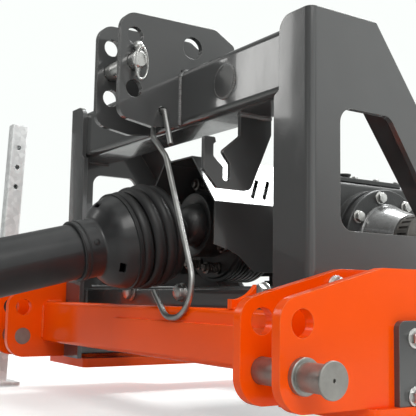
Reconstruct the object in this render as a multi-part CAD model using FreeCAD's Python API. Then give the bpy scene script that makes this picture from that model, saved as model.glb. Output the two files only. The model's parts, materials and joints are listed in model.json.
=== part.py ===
"""Headstock of a rotavator: linkage frame, gearbox, shield, drive shaft, hanging hook and parking leg.

Sizes are millimetres. X runs across the machine, +Y to the rear, +Z up. The model is laid out
from the line of the upper holes of the lower hitch plates, and is moved at the end so that the
origin is the centre of the bolt pattern under the two feet.
"""
import FreeCAD, Part
import math
import os

V = FreeCAD.Vector
X_AXIS = V(1, 0, 0)
Y_AXIS = V(0, 1, 0)
Z_AXIS = V(0, 0, 1)

# Side frames: one bent plate each, with a window
FRAME_OUTER_X = 433.5
FRAME_WALL = 10.0
FRAME_FRONT_Y = 97.0
FRAME_TOP_Z = 467.0
FRAME_TOP_REAR_Y = 235.0
FRAME_FOOT_REAR_Y = 640.0
FRAME_FOOT_Z = -112.0
FRAME_HEEL = 42.0
FLANGE_WIDTH = 85.0
FLANGE_CAP_WIDTH = 73.0
FLANGE_CAP_Z = 350.0
FLANGE_CAP_RADIUS = 25.0
REAR_FLANGE_WIDTH = 105.0
REAR_FLANGE_START = 14.0
REAR_FLANGE_LENGTH = 520.0
BEND_RADIUS = 12.0
WINDOW_FRONT_Y = 157.0
WINDOW_TOP_Z = 319.0
WINDOW_BOTTOM_Z = 132.0
WINDOW_TOP_REAR_Y = 264.0
WINDOW_BOTTOM_REAR_Y = 395.0
WINDOW_RADIUS = 24.0

# Cross beam between the side frames
BEAM_FRONT_Y = FRAME_FRONT_Y + FRAME_WALL
BEAM_DEPTH = 100.0
BEAM_TOP_Z = 456.8
BEAM_BOTTOM_Z = 347.3
BEAM_WALL = 8.0
BEAM_RADIUS = 14.0
BOSS_X = 199.5
BOSS_RADIUS = 28.0
BOSS_HEIGHT = 3.0

# Top link plates, their pin and the wire hook that hangs from one of them
TOP_GAP = 81.0
TOP_WALL = 12.0
TOP_FRONT_Y = -22.0
TOP_REAR_Y = 231.0
TOP_TOP_Z = 552.0
TOP_BOTTOM_Z = 340.0
TOP_NOSE_DROP = 4.5
TOP_NOSE_LIFT = 12.0
TOP_KNEE_Y = 50.0
TOP_CREST_Y = 185.0
TOP_CHAMFER_DROP = 25.7
TOP_HOLE_Y = 8.0
TOP_HOLE_Z = 406.0
TOP_HOLE_PITCH = 49.5
TOP_REAR_HOLE_Y = 133.0
TOP_PIN_RADIUS = 15.75
TOP_HOLE_RADIUS = 16.5
TOP_REAR_HOLE_RADIUS = 21.5
TOP_PIN_REACH = 22.0
HOOK_HOLE_Y = 67.0
HOOK_HOLE_Z = 374.0
HOOK_HOLE_RADIUS = 7.0
WIRE_RADIUS = 5.0
HOOK_LEAN = 4.2
HOOK_GAP = 0.08

# Notched plate under the beam
NOTCHED_INNER_X = 198.0
NOTCHED_WALL = 8.0
# Corners as (behind the beam's front, below the beam, corner radius)
NOTCHED_CORNERS = [(-45, 47, 4), (-45, 103, 8), (-17, 133, 6), (52, 133, 14), (98, 29, 10), (98, 0, 0),
                   (30, 0, 0), (30, 38, 4), (-8, 69, 5), (9, 90, 6), (9, 120, 5), (-6, 120, 5),
                   (-6, 96, 5), (-26, 80, 5), (-26, 59, 2), (-21, 55, 2), (-23, 47, 3)]

# Lower hitch: an inner and an outer plate each side, with a pin
HITCH_WALL = 16.0
HITCH_GAP = 66.0
HITCH_FRONT_Y = -36.5
HITCH_TOP_Z = 74.0
HITCH_NOSE_Z = 26.7
HITCH_CREST_Y = 143.0
HITCH_REAR_Y = 330.0
HITCH_HOLE_RADIUS = 18.5
PIN_RADIUS = 18.3
PIN_DROP = 65.0
COLLAR_RADIUS = 24.0
COLLAR_LENGTH = 8.0
NECK_LENGTH = 44.0
END_DISC_RADIUS = 23.5
END_DISC_LENGTH = 5.0
CLAMP_FRONT_Y = 162.0
CLAMP_DEPTH = 78.0
CLAMP_TOP_Z = 3.0
CLAMP_WALL = 10.0
CLAMP_HOLE_Y = 192.0
CLAMP_HOLE_Z = (-21.0, -99.0)
WEB_Y = 262.0
WEB_WALL = 12.0
WEB_TOP_Z = 40.0

# Cross members between the side frames, and the feet
FRONT_BAR_Y = 47.0
FRONT_BAR_DEPTH = 50.0
FRONT_BAR_TOP_Z = 13.0
FRONT_BAR_HEIGHT = 90.0
FRONT_BAR_WALL = 6.0
DOUBLER_X = -75.0
DOUBLER_WALL = 5.0
DOUBLER_TOP_Z = -12.5
GUSSET_X = 300.0
GUSSET_WALL = 10.0
SADDLE_RISE = 38.0
MAIN_BAR_Y = 150.0
MAIN_BAR_DEPTH = 110.0
MAIN_BAR_TOP_Z = 50.0
MAIN_BAR_BOTTOM_Z = -70.0
MAIN_BAR_WALL = 10.0
RAIL_X = 68.0
RAIL_WIDTH = 60.0
RAIL_REAR_Y = 700.0
REAR_BAR_Y = 560.0
REAR_BAR_DEPTH = 70.0
REAR_BAR_TOP_Z = 10.0
FOOT_WALL = 20.0
FOOT_INNER_X = 340.0
FOOT_OUTER_X = 545.0
FOOT_FRONT_Y = 110.0
FOOT_REAR_Y = 650.0
FOOT_HOLE_X = 385.0
FOOT_HOLE_PITCH_Y = 400.0
FOOT_HOLE_RADIUS = 11.0

# Gearbox on the two rails; its side output lies lower than its input
SHAFT_Z = 170.0
GEARBOX_FRONT_Y = 430.0
GEARBOX_REAR_Y = 690.0
GEARBOX_HALF_WIDTH = 108.0
GEARBOX_TOP_Z = 276.0
GEARBOX_WAIST_Z = 90.0
GEARBOX_FOOT = 18.0
GEARBOX_LID_INSET = 14.0
GEARBOX_LID_WALL = 9.0
SIDE_AXIS_Y = 563.0
SIDE_AXIS_Z = 142.0
CHEEK_HEIGHT = 12.0
SIDE_DISC_RADIUS = 118.0
SIDE_DISC_WALL = 10.0
SIDE_FLANGE_RADIUS = 117.0
SIDE_FLANGE_WALL = 14.0
SIDE_HUB_X = GEARBOX_HALF_WIDTH + CHEEK_HEIGHT + SIDE_DISC_WALL + SIDE_FLANGE_WALL
SIDE_HUB_RADIUS = 82.0
SIDE_HUB_NOSE_RADIUS = 59.0
SIDE_HUB_LENGTH = 68.0
COUPLING_RADIUS = 57.0
COUPLING_LENGTH = 34.0
COUPLING_GAP = 1.5
OUTPUT_SEAT_RADIUS = 20.0
OUTPUT_SEAT_DEPTH = 32.0
OUTPUT_SHAFT_RADIUS = 19.0
OUTPUT_SHAFT_LENGTH = 60.0
BREATHER_X = 40.0
BREATHER_Y = 540.0
BREATHER_RADIUS = 15.0

# Drive shield: a folded sheet over the clutch
SHIELD_FRONT_Y = 137.0
CLUTCH_RADIUS = 110.0
SHIELD_CLEARANCE = 17.0
SHIELD_WALL = 3.0
SHIELD_HALF_WIDTH = CLUTCH_RADIUS + SHIELD_CLEARANCE + SHIELD_WALL
SHIELD_SHOULDER_Z = 203.0
SHIELD_RIDGE_HALF_WIDTH = 51.0
SHIELD_RIDGE_Z = 296.0
SHIELD_FRONT_SKIRT_Z = 125.0
SHIELD_SKIRT_Z = 77.0
SHIELD_SLOTS = 5
SHIELD_SLOT_Y = 229.5
SHIELD_SLOT_PITCH = 27.5
SHIELD_SLOT_LIFT = 17.0
SHIELD_SLOT_RUN = 54.0
SHIELD_SLOT_SHIFT = 37.0
SHIELD_SLOT_WIDTH = 7.0

# Clutch and bell on the gearbox input
CLUTCH_FRONT_Y = 222.0
CLUTCH_DISCS = 8
CLUTCH_DISC_PITCH = 10.0
CLUTCH_GROOVE = 6.0
CLUTCH_HUB_RADIUS = 46.0
CLUTCH_HUB_LENGTH = 40.0
INPUT_SHAFT_RADIUS = 22.5
INPUT_SEAT_RADIUS = 22.55
INPUT_SEAT_DEPTH = 40.0
BELL_RADIUS = 62.0
JOINT_Y = 180.0
BALL_RADIUS = 42.0
BALL_CLEARANCE = 0.3

# Drive shaft, measured along its own axis from the centre of its rear joint
SHAFT_TILT = 14.0
GUARD_WALL = 3.0
# Crests of the bellows as (s, radius), and half the length of one ring
BELLOWS_CRESTS = [(89.5, 92), (112.5, 98), (135.5, 96), (158.5, 91)]
BELLOWS_HALF_PITCH = 11.5
BELLOWS_DEPTH = 8.0
BELLOWS_END = 178.0
CONE_RIM_RADIUS = 87.0
CONE_RIM_S = 175.0
CONE_SHOULDER_S = 205.0
CONE_SHOULDER_RADIUS = 76.0
CONE_NECK_S = 224.0
CONE_WINDOWS = 3
CONE_WINDOW_TURN = 6.0
CONE_WINDOW_WIDTH = 20.0
CONE_WINDOW_S = (200.0, 209.0)
COLLAR_S = 262.0
COLLAR_OUTER_RADIUS = 53.0
TUBE_RADIUS = 49.5
TUBE_WALL = 3.0
TUBE_S = (246.0, 600.0)
INNER_TUBE_GAP = 0.6
INNER_TUBE_S = (400.0, 800.0)
FRONT_CONE_NECK_S = 775.0
FRONT_CONE_RIM_S = 885.0
FRONT_CONE_RIM_RADIUS = 80.0
BAR_SIZE = 48.0
BAR_WALL = 6.0
BAR_S = (60.0, 640.0)
SLEEVE_SIZE = 58.0
SLEEVE_S = (430.0, 812.0)
SLIDE_CLEARANCE = 0.3
BEARING_CLEARANCE = 0.08
REAR_BEARING_S = (226.0, 244.0)
REAR_JOURNAL_RADIUS = 36.0
FRONT_BEARING_S = (778.0, 796.0)
FRONT_JOURNAL_RADIUS = 40.0
CROSS_S = 870.0
TRUNNION_RADIUS = 12.0
TRUNNION_CLEARANCE = 0.05
YOKE_HALF_SPAN = 44.0
YOKE_ARM = 15.0
YOKE_ARM_RADIUS = 21.0
YOKE_BASE = 52.0
YOKE_HUB_LENGTH = 62.0
YOKE_HUB_RADIUS = 30.0
SPLINE_MAJOR_RADIUS = 17.4
SPLINE_MINOR_RADIUS = 14.9
SPLINE_WIDTH = 8.7
SPLINES = 6

# Parking leg, stowed on the right-hand outer hitch plate
LEG_FACE_X = -603.0
LEG_WIDTH = 30.0
LEG_DEPTH = 40.0
LEG_WALL = 3.0
LEG_TOP_Z = 455.0
LEG_PIN_DROP = 94.0
LEG_LENGTH = LEG_TOP_Z + PIN_DROP + END_DISC_RADIUS + LEG_PIN_DROP
LEG_INDEX_HOLES = 3
LEG_FIRST_HOLE = 58.0
LEG_CENTRE_Y = 16.0
LEG_LEAN = 2.4
LEG_HOLE_PITCH = 50.0
LEG_HOLE_RADIUS = 6.0
LEG_CLEARANCE = 0.5
SLEEVE_BOTTOM_Z = -32.0
SLEEVE_TOP_Z = 60.0
LEG_SLEEVE_WALL = 5.0
LEG_FOOT_SIZE = 90.0
LEG_FOOT_WALL = 8.0

TO_MOUNT = V(0, -(FOOT_FRONT_Y + FOOT_REAR_Y) / 2, FOOT_WALL - FRAME_FOOT_Z)


def rounded_edges(points, closed):
    """Edges through (u, v, radius) points given as vectors, with each corner rounded by its radius."""
    count = len(points)
    entries = []
    exits = []
    arcs = []
    for i in range(count):
        here, radius = points[i]
        inside = closed or 0 < i < count - 1
        if not inside or radius <= 0:
            entries.append(here)
            exits.append(here)
            arcs.append(None)
            continue
        back = (points[i - 1][0] - here).normalize()
        ahead = (points[(i + 1) % count][0] - here).normalize()
        half = back.getAngle(ahead) / 2
        reach = radius / math.tan(half)
        centre_way = (back + ahead).normalize()
        centre = here + centre_way * (radius / math.sin(half))
        entry = here + back * reach
        leave = here + ahead * reach
        middle = centre - centre_way * radius
        entries.append(entry)
        exits.append(leave)
        arcs.append(Part.Arc(entry, middle, leave).toShape())
    edges = []
    for i in range(count):
        if arcs[i] is not None:
            edges.append(arcs[i])
        if i == count - 1 and not closed:
            break
        start = exits[i]
        end = entries[(i + 1) % count]
        if start.distanceToPoint(end) > 1e-6:
            edges.append(Part.LineSegment(start, end).toShape())
    return edges


def outline(points, place):
    """A closed wire; place turns (u, v) into a vector, and a point may carry a third value, its radius."""
    corners = [(place(p[0], p[1]), p[2] if len(p) > 2 else 0.0) for p in points]
    return Part.Wire(rounded_edges(corners, True))


def plate_x(points, x0, x1):
    """A plate across X from a (y, z, radius) outline."""
    return Part.Face(outline(points, lambda y, z: V(x0, y, z))).extrude(V(x1 - x0, 0, 0))


def plate_y(points, y0, y1):
    """A plate across Y from an (x, z, radius) outline."""
    return Part.Face(outline(points, lambda x, z: V(x, y0, z))).extrude(V(0, y1 - y0, 0))


def plate_z(points, z0, z1):
    """A plate across Z from an (x, y, radius) outline."""
    return Part.Face(outline(points, lambda x, y: V(x, y, z0))).extrude(V(0, 0, z1 - z0))


def box(x0, x1, y0, y1, z0, z1):
    return Part.makeBox(x1 - x0, y1 - y0, z1 - z0, V(x0, y0, z0))


def rod_x(y, z, radius, x0, x1):
    return Part.makeCylinder(radius, x1 - x0, V(x0, y, z), X_AXIS)


def rod_y(x, z, radius, y0, y1):
    return Part.makeCylinder(radius, y1 - y0, V(x, y0, z), Y_AXIS)


def rod_z(x, y, radius, z0, z1):
    return Part.makeCylinder(radius, z1 - z0, V(x, y, z0), Z_AXIS)


def rectangle(u0, u1, v0, v1, radius=0.0):
    return [(u0, v0, radius), (u1, v0, radius), (u1, v1, radius), (u0, v1, radius)]


def hollow_bar_x(x0, x1, y0, y1, z0, z1, wall, radius):
    """A rectangular tube along X with rounded corners."""
    outer = plate_x(rectangle(y0, y1, z0, z1, radius), x0, x1)
    inner = plate_x(rectangle(y0 + wall, y1 - wall, z0 + wall, z1 - wall, radius - wall / 2), x0, x1)
    return outer.cut(inner)


def mirrored(shape):
    return shape.mirror(V(0, 0, 0), X_AXIS)


def rounded_edge(shape, radius, test):
    """Fillet the edges whose centre and direction pass the test."""
    chosen = [e for e in shape.Edges if test(e)]
    return shape.makeFillet(radius, chosen)


# Pieces of the frame

def side_frame():
    """Side plate with a window, bent in at the front, and an inward plate along its slanted rear edge."""
    heel_z = FRAME_FOOT_Z + FRAME_HEEL
    side = plate_x([(FRAME_FRONT_Y, FRAME_FOOT_Z), (FRAME_FOOT_REAR_Y, FRAME_FOOT_Z, 6),
                    (FRAME_FOOT_REAR_Y, heel_z, 30), (FRAME_TOP_REAR_Y, FRAME_TOP_Z, 6),
                    (FRAME_FRONT_Y, FRAME_TOP_Z)], FRAME_OUTER_X - FRAME_WALL, FRAME_OUTER_X)
    window = plate_x([(WINDOW_FRONT_Y, WINDOW_BOTTOM_Z, WINDOW_RADIUS),
                      (WINDOW_BOTTOM_REAR_Y, WINDOW_BOTTOM_Z, WINDOW_RADIUS),
                      (WINDOW_TOP_REAR_Y, WINDOW_TOP_Z, WINDOW_RADIUS),
                      (WINDOW_FRONT_Y, WINDOW_TOP_Z, WINDOW_RADIUS)],
                     FRAME_OUTER_X - FRAME_WALL, FRAME_OUTER_X)
    inner_x = FRAME_OUTER_X - FLANGE_WIDTH
    cap_x = FRAME_OUTER_X - FLANGE_CAP_WIDTH
    flange = plate_y([(inner_x, FRAME_FOOT_Z), (FRAME_OUTER_X, FRAME_FOOT_Z), (FRAME_OUTER_X, FRAME_TOP_Z),
                      (cap_x, FRAME_TOP_Z, FLANGE_CAP_RADIUS), (cap_x, FLANGE_CAP_Z, 4),
                      (inner_x, FLANGE_CAP_Z - 6, 4)], FRAME_FRONT_Y, FRAME_FRONT_Y + FRAME_WALL)
    rear_top = V(0, FRAME_TOP_REAR_Y, FRAME_TOP_Z)
    down = (V(0, FRAME_FOOT_REAR_Y, heel_z) - rear_top).normalize()
    inward = X_AXIS.cross(down) * FRAME_WALL
    start = rear_top + down * REAR_FLANGE_START
    end = start + down * REAR_FLANGE_LENGTH
    corners = [start, end, end - inward, start - inward]
    rear_flange = plate_x([(c.y, c.z) for c in corners], FRAME_OUTER_X - REAR_FLANGE_WIDTH, FRAME_OUTER_X)
    bent = side.cut(window).fuse([flange, rear_flange]).removeSplitter()

    def on_bend(edge):
        centre = edge.CenterOfMass
        upright = abs(edge.BoundBox.ZLength - edge.Length) < 1e-3
        return upright and abs(centre.x - FRAME_OUTER_X) < 1e-3 and abs(centre.y - FRAME_FRONT_Y) < 1e-3

    return rounded_edge(bent, BEND_RADIUS, on_bend)


def cross_beam():
    reach = FRAME_OUTER_X - FRAME_WALL
    beam = hollow_bar_x(-reach, reach, BEAM_FRONT_Y, BEAM_FRONT_Y + BEAM_DEPTH, BEAM_BOTTOM_Z, BEAM_TOP_Z,
                        BEAM_WALL, BEAM_RADIUS)
    boss_z = (BEAM_TOP_Z + BEAM_BOTTOM_Z) / 2
    boss = rod_y(BOSS_X, boss_z, BOSS_RADIUS, BEAM_FRONT_Y - BOSS_HEIGHT, BEAM_FRONT_Y + BEAM_WALL)
    return beam.fuse(boss).removeSplitter()


def top_link_plate():
    inner = TOP_GAP / 2
    outer = inner + TOP_WALL
    plate = plate_x([(TOP_FRONT_Y, TOP_BOTTOM_Z + TOP_NOSE_LIFT, 24), (TOP_KNEE_Y, TOP_BOTTOM_Z, 30),
                     (BEAM_FRONT_Y, BEAM_BOTTOM_Z), (BEAM_FRONT_Y, BEAM_TOP_Z), (TOP_REAR_Y, BEAM_TOP_Z),
                     (TOP_REAR_Y, TOP_TOP_Z - TOP_CHAMFER_DROP, 12), (TOP_CREST_Y, TOP_TOP_Z, 20),
                     (TOP_FRONT_Y, TOP_TOP_Z - TOP_NOSE_DROP, 32)], inner, outer)
    holes = [(TOP_HOLE_Y, TOP_HOLE_Z + i * TOP_HOLE_PITCH, TOP_HOLE_RADIUS) for i in range(3)]
    holes.append((TOP_REAR_HOLE_Y, TOP_HOLE_Z + 2 * TOP_HOLE_PITCH, TOP_REAR_HOLE_RADIUS))
    holes.append((HOOK_HOLE_Y, HOOK_HOLE_Z, HOOK_HOLE_RADIUS))
    for y, z, radius in holes:
        plate = plate.cut(rod_x(y, z, radius, inner, outer))
    return plate


def top_link_pin():
    outer = TOP_GAP / 2 + TOP_WALL
    pin_z = TOP_HOLE_Z + TOP_HOLE_PITCH
    shank = rod_x(TOP_HOLE_Y, pin_z, TOP_PIN_RADIUS, -outer, outer + TOP_PIN_REACH)
    head = rod_x(TOP_HOLE_Y, pin_z, TOP_PIN_RADIUS + 6, -outer - 8, -outer)
    pin = shank.fuse(head).removeSplitter()
    pin = pin.makeChamfer(2.5, [e for e in pin.Edges if e.BoundBox.XMin > outer + TOP_PIN_REACH - 0.01])
    cross_x = outer + TOP_PIN_REACH - 10
    hole = rod_z(cross_x, TOP_HOLE_Y, 5.1, pin_z - 40, pin_z + 40)
    return pin.cut(hole)


def linch_pin():
    """Peg through the top link pin, with its head and flat spring ring."""
    cross_x = TOP_GAP / 2 + TOP_WALL + TOP_PIN_REACH - 10
    pin_z = TOP_HOLE_Z + TOP_HOLE_PITCH
    peg = rod_z(cross_x, TOP_HOLE_Y, 5.0, pin_z - 30, pin_z + 20)
    head = Part.makeSphere(9.0, V(cross_x, TOP_HOLE_Y, pin_z + TOP_PIN_RADIUS + 9))
    ring_y = TOP_HOLE_Y
    ring_z = pin_z + 2
    ring = Part.makeTorus(27.0, 2.2, V(cross_x + 15, ring_y, ring_z), X_AXIS)
    ear = rod_x(ring_y, pin_z + TOP_PIN_RADIUS + 11, 3.0, cross_x, cross_x + 17)
    return peg.fuse([head, ear, ring]).removeSplitter()


def notched_plate():
    """Flame-cut plate under the beam, with a slot that opens to the front."""
    points = [(BEAM_FRONT_Y + back, BEAM_BOTTOM_Z - drop, radius) for back, drop, radius in NOTCHED_CORNERS]
    return plate_x(points, NOTCHED_INNER_X, NOTCHED_INNER_X + NOTCHED_WALL)


def hitch_outline(rear_y):
    return [(HITCH_FRONT_Y, FRAME_FOOT_Z, 40), (rear_y, FRAME_FOOT_Z), (rear_y, HITCH_TOP_Z - 45, 8),
            (rear_y - 50, HITCH_TOP_Z, 12), (HITCH_CREST_Y, HITCH_TOP_Z, 8),
            (HITCH_FRONT_Y, HITCH_NOSE_Z, 32)]


def hitch_plate(x0):
    plate = plate_x(hitch_outline(HITCH_REAR_Y), x0, x0 + HITCH_WALL)
    for z in (0, -PIN_DROP):
        plate = plate.cut(rod_x(0, z, HITCH_HOLE_RADIUS, x0, x0 + HITCH_WALL))
    return plate


def outer_hitch_plate():
    """Outer plate, with the web that ties it to the inner one and the holes for the clamp bolts."""
    inner_face = FRAME_OUTER_X + HITCH_WALL
    x0 = inner_face + HITCH_GAP
    plate = hitch_plate(x0)
    for z in CLAMP_HOLE_Z:
        plate = plate.cut(rod_x(CLAMP_HOLE_Y, z, 9.0, x0, x0 + HITCH_WALL))
    web = box(inner_face, x0, WEB_Y, WEB_Y + WEB_WALL, FRAME_FOOT_Z, WEB_TOP_Z)
    return plate.fuse(web).removeSplitter()


def lower_pin():
    """Pin through both hitch plates; its collar, neck and end disc stand out at the outer side."""
    outer = FRAME_OUTER_X + 2 * HITCH_WALL + HITCH_GAP
    shank = rod_x(0, -PIN_DROP, PIN_RADIUS, FRAME_OUTER_X + 1, outer + COLLAR_LENGTH + NECK_LENGTH + 2)
    collar = rod_x(0, -PIN_DROP, COLLAR_RADIUS, outer, outer + COLLAR_LENGTH)
    collar = collar.makeFillet(2.0, [e for e in collar.Edges if e.BoundBox.XMin > outer + 1])
    disc_x = outer + COLLAR_LENGTH + NECK_LENGTH
    disc = rod_x(0, -PIN_DROP, END_DISC_RADIUS, disc_x, disc_x + END_DISC_LENGTH)
    disc = disc.makeFillet(1.5, disc.Edges[:1] + disc.Edges[2:])
    centre = rod_x(0, -PIN_DROP, 2.5, disc_x + END_DISC_LENGTH - 4, disc_x + END_DISC_LENGTH)
    return shank.fuse([collar, disc]).removeSplitter().cut(centre)


def clamp_plate():
    """Thick bar bolted flat on the outer hitch plate."""
    x0 = FRAME_OUTER_X + 2 * HITCH_WALL + HITCH_GAP
    bar = plate_x([(CLAMP_FRONT_Y, FRAME_FOOT_Z), (CLAMP_FRONT_Y + CLAMP_DEPTH, FRAME_FOOT_Z),
                   (CLAMP_FRONT_Y + CLAMP_DEPTH, CLAMP_TOP_Z, 10), (CLAMP_FRONT_Y, CLAMP_TOP_Z, 12)],
                  x0, x0 + CLAMP_WALL)
    for z in CLAMP_HOLE_Z:
        bar = bar.cut(rod_x(CLAMP_HOLE_Y, z, 9.0, x0, x0 + CLAMP_WALL))
    return bar


def front_bar():
    """Box section between the inner hitch plates, with a doubler along the lower part of its face."""
    reach = FRAME_OUTER_X
    low = FRONT_BAR_TOP_Z - FRONT_BAR_HEIGHT
    bar = hollow_bar_x(-reach, reach, FRONT_BAR_Y, FRONT_BAR_Y + FRONT_BAR_DEPTH, low, FRONT_BAR_TOP_Z,
                       FRONT_BAR_WALL, 8.0)
    doubler = box(DOUBLER_X, reach, FRONT_BAR_Y - DOUBLER_WALL, FRONT_BAR_Y + FRONT_BAR_WALL,
                  low + 8, DOUBLER_TOP_Z)
    return bar.fuse(doubler).removeSplitter()


def saddle_gusset():
    """Small gusset on the front bar, hollowed to follow the drive."""
    top = FRONT_BAR_TOP_Z
    front = FRONT_BAR_Y + 1
    rear = FRONT_BAR_Y + FRONT_BAR_DEPTH - 1
    lip = 15.0
    start = V(GUSSET_X, front, top + lip)
    end = V(GUSSET_X, rear, top + SADDLE_RISE)
    middle = V(GUSSET_X, front + 0.62 * (rear - front), top + lip + 6)
    edges = [Part.Arc(start, middle, end).toShape(),
             Part.LineSegment(end, V(GUSSET_X, rear, top)).toShape(),
             Part.LineSegment(V(GUSSET_X, rear, top), V(GUSSET_X, front, top)).toShape(),
             Part.LineSegment(V(GUSSET_X, front, top), start).toShape()]
    return Part.Face(Part.Wire(edges)).extrude(V(GUSSET_WALL, 0, 0))


def main_bar():
    reach = FRAME_OUTER_X - FRAME_WALL
    return hollow_bar_x(-reach, reach, MAIN_BAR_Y, MAIN_BAR_Y + MAIN_BAR_DEPTH, MAIN_BAR_BOTTOM_Z,
                        MAIN_BAR_TOP_Z, MAIN_BAR_WALL, 14.0)


def gearbox_rail(side):
    """Rectangular tube from the main bar to the rear bar; the gearbox stands on a pair of them."""
    x0 = side * RAIL_X - RAIL_WIDTH / 2
    y0 = MAIN_BAR_Y + MAIN_BAR_DEPTH
    outer = plate_y(rectangle(x0, x0 + RAIL_WIDTH, REAR_BAR_TOP_Z, MAIN_BAR_TOP_Z, 5), y0, RAIL_REAR_Y)
    inner = plate_y(rectangle(x0 + 5, x0 + RAIL_WIDTH - 5, REAR_BAR_TOP_Z + 5, MAIN_BAR_TOP_Z - 5, 2),
                    y0, RAIL_REAR_Y - 5)
    return outer.cut(inner)


def rear_bar():
    reach = FRAME_OUTER_X - FRAME_WALL
    return hollow_bar_x(-reach, reach, REAR_BAR_Y, REAR_BAR_Y + REAR_BAR_DEPTH, MAIN_BAR_BOTTOM_Z,
                        REAR_BAR_TOP_Z, 8.0, 10.0)


def foot():
    """Base plate under one side frame and its hitch plates, with two bolt holes."""
    plate = plate_z([(FOOT_INNER_X, FOOT_FRONT_Y, 12), (FOOT_OUTER_X, FOOT_FRONT_Y, 12),
                     (FOOT_OUTER_X, HITCH_REAR_Y + 30, 20), (FRAME_OUTER_X + 40, HITCH_REAR_Y + 90, 20),
                     (FRAME_OUTER_X + 40, FOOT_REAR_Y, 12), (FOOT_INNER_X, FOOT_REAR_Y, 12)],
                    FRAME_FOOT_Z - FOOT_WALL, FRAME_FOOT_Z)
    middle = (FOOT_FRONT_Y + FOOT_REAR_Y) / 2
    for step in (-0.5, 0.5):
        y = middle + step * FOOT_HOLE_PITCH_Y
        plate = plate.cut(rod_z(FOOT_HOLE_X, y, FOOT_HOLE_RADIUS, FRAME_FOOT_Z - FOOT_WALL, FRAME_FOOT_Z))
    return plate


# Gearbox and what is bolted to it

def gearbox_housing():
    """Cast case: a drafted body on a bolting foot, a front nose for the input and a lid seat."""
    w = GEARBOX_HALF_WIDTH
    y0 = GEARBOX_FRONT_Y
    y1 = GEARBOX_REAR_Y
    body = plate_y([(-w, MAIN_BAR_TOP_Z), (w, MAIN_BAR_TOP_Z), (w, GEARBOX_WAIST_Z, 12),
                    (w - 10, GEARBOX_TOP_Z, 12), (-w + 10, GEARBOX_TOP_Z, 12), (-w, GEARBOX_WAIST_Z, 12)],
                   y0 + 20, y1)
    cheek_x = w + CHEEK_HEIGHT
    flange_foot = plate_z(rectangle(-cheek_x, cheek_x, y0 + 6, y1 + 10, 20), MAIN_BAR_TOP_Z,
                          MAIN_BAR_TOP_Z + GEARBOX_FOOT)
    nose = rod_y(0, SHAFT_Z, 78.0, y0, y0 + 30)
    cheek = rod_x(SIDE_AXIS_Y, SIDE_AXIS_Z, SIDE_DISC_RADIUS, w - 8, cheek_x)
    case = body.fuse([flange_foot, nose, cheek, mirrored(cheek)]).removeSplitter()
    seat = rod_y(0, SHAFT_Z, INPUT_SEAT_RADIUS, y0, y0 + INPUT_SEAT_DEPTH)
    return case.cut(seat)


def gearbox_lid():
    w = GEARBOX_HALF_WIDTH - GEARBOX_LID_INSET
    return plate_z(rectangle(-w, w, GEARBOX_FRONT_Y + 26, GEARBOX_REAR_Y - 22, 16), GEARBOX_TOP_Z,
                   GEARBOX_TOP_Z + GEARBOX_LID_WALL)


def breather():
    """Low funnel-topped vent on the lid."""
    x = BREATHER_X
    y = BREATHER_Y
    z = GEARBOX_TOP_Z + GEARBOX_LID_WALL
    neck = BREATHER_RADIUS / 2
    stem = rod_z(x, y, neck, z, z + 4)
    cup = Part.makeCone(neck, BREATHER_RADIUS, 10, V(x, y, z + 4), Z_AXIS)
    cap = rod_z(x, y, BREATHER_RADIUS, z + 14, z + 17)
    return stem.fuse([cup, cap]).removeSplitter()


def side_flange():
    """Bearing ring bolted on the cheek of the case, with a stepped second ring in front."""
    x0 = GEARBOX_HALF_WIDTH + CHEEK_HEIGHT
    back = rod_x(SIDE_AXIS_Y, SIDE_AXIS_Z, SIDE_DISC_RADIUS - 6, x0, x0 + SIDE_DISC_WALL)
    back = back.makeFillet(3.0, [e for e in back.Edges if e.BoundBox.XMin > x0 + 1])
    x1 = x0 + SIDE_DISC_WALL
    front = rod_x(SIDE_AXIS_Y, SIDE_AXIS_Z, SIDE_FLANGE_RADIUS, x1, x1 + SIDE_FLANGE_WALL)
    front = front.makeFillet(3.0, [e for e in front.Edges if e.BoundBox.XMin > x1 + 1])
    return back.fuse(front).removeSplitter()


def side_hub():
    """Tapered cast hub that carries the side output, turned in one piece."""
    x0 = SIDE_HUB_X
    profile = [(x0, 0), (x0, SIDE_HUB_RADIUS + 4, 0), (x0 + 6, SIDE_HUB_RADIUS + 4, 3),
               (x0 + 8, SIDE_HUB_RADIUS, 0), (x0 + 30, SIDE_HUB_RADIUS - 8, 12),
               (x0 + SIDE_HUB_LENGTH, SIDE_HUB_NOSE_RADIUS, 0), (x0 + SIDE_HUB_LENGTH, 0)]
    wire = outline(profile, lambda x, r: V(x, SIDE_AXIS_Y, SIDE_AXIS_Z + r))
    hub = Part.Face(wire).revolve(V(0, SIDE_AXIS_Y, SIDE_AXIS_Z), X_AXIS, 360)
    nose_x = x0 + SIDE_HUB_LENGTH
    return hub.cut(rod_x(SIDE_AXIS_Y, SIDE_AXIS_Z, OUTPUT_SEAT_RADIUS, nose_x - OUTPUT_SEAT_DEPTH, nose_x))


def side_coupling():
    """Ribbed ring on the output shaft, just clear of the nose of the hub."""
    x0 = SIDE_HUB_X + SIDE_HUB_LENGTH + COUPLING_GAP
    ring = rod_x(SIDE_AXIS_Y, SIDE_AXIS_Z, COUPLING_RADIUS, x0, x0 + COUPLING_LENGTH)
    for i in range(24):
        angle = math.radians(15 * i)
        y = SIDE_AXIS_Y + (COUPLING_RADIUS + 1.0) * math.cos(angle)
        z = SIDE_AXIS_Z + (COUPLING_RADIUS + 1.0) * math.sin(angle)
        ring = ring.cut(rod_x(y, z, 3.6, x0 + 5, x0 + COUPLING_LENGTH - 5))
    return ring.cut(rod_x(SIDE_AXIS_Y, SIDE_AXIS_Z, OUTPUT_SEAT_RADIUS - 0.05, x0, x0 + COUPLING_LENGTH))


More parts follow.
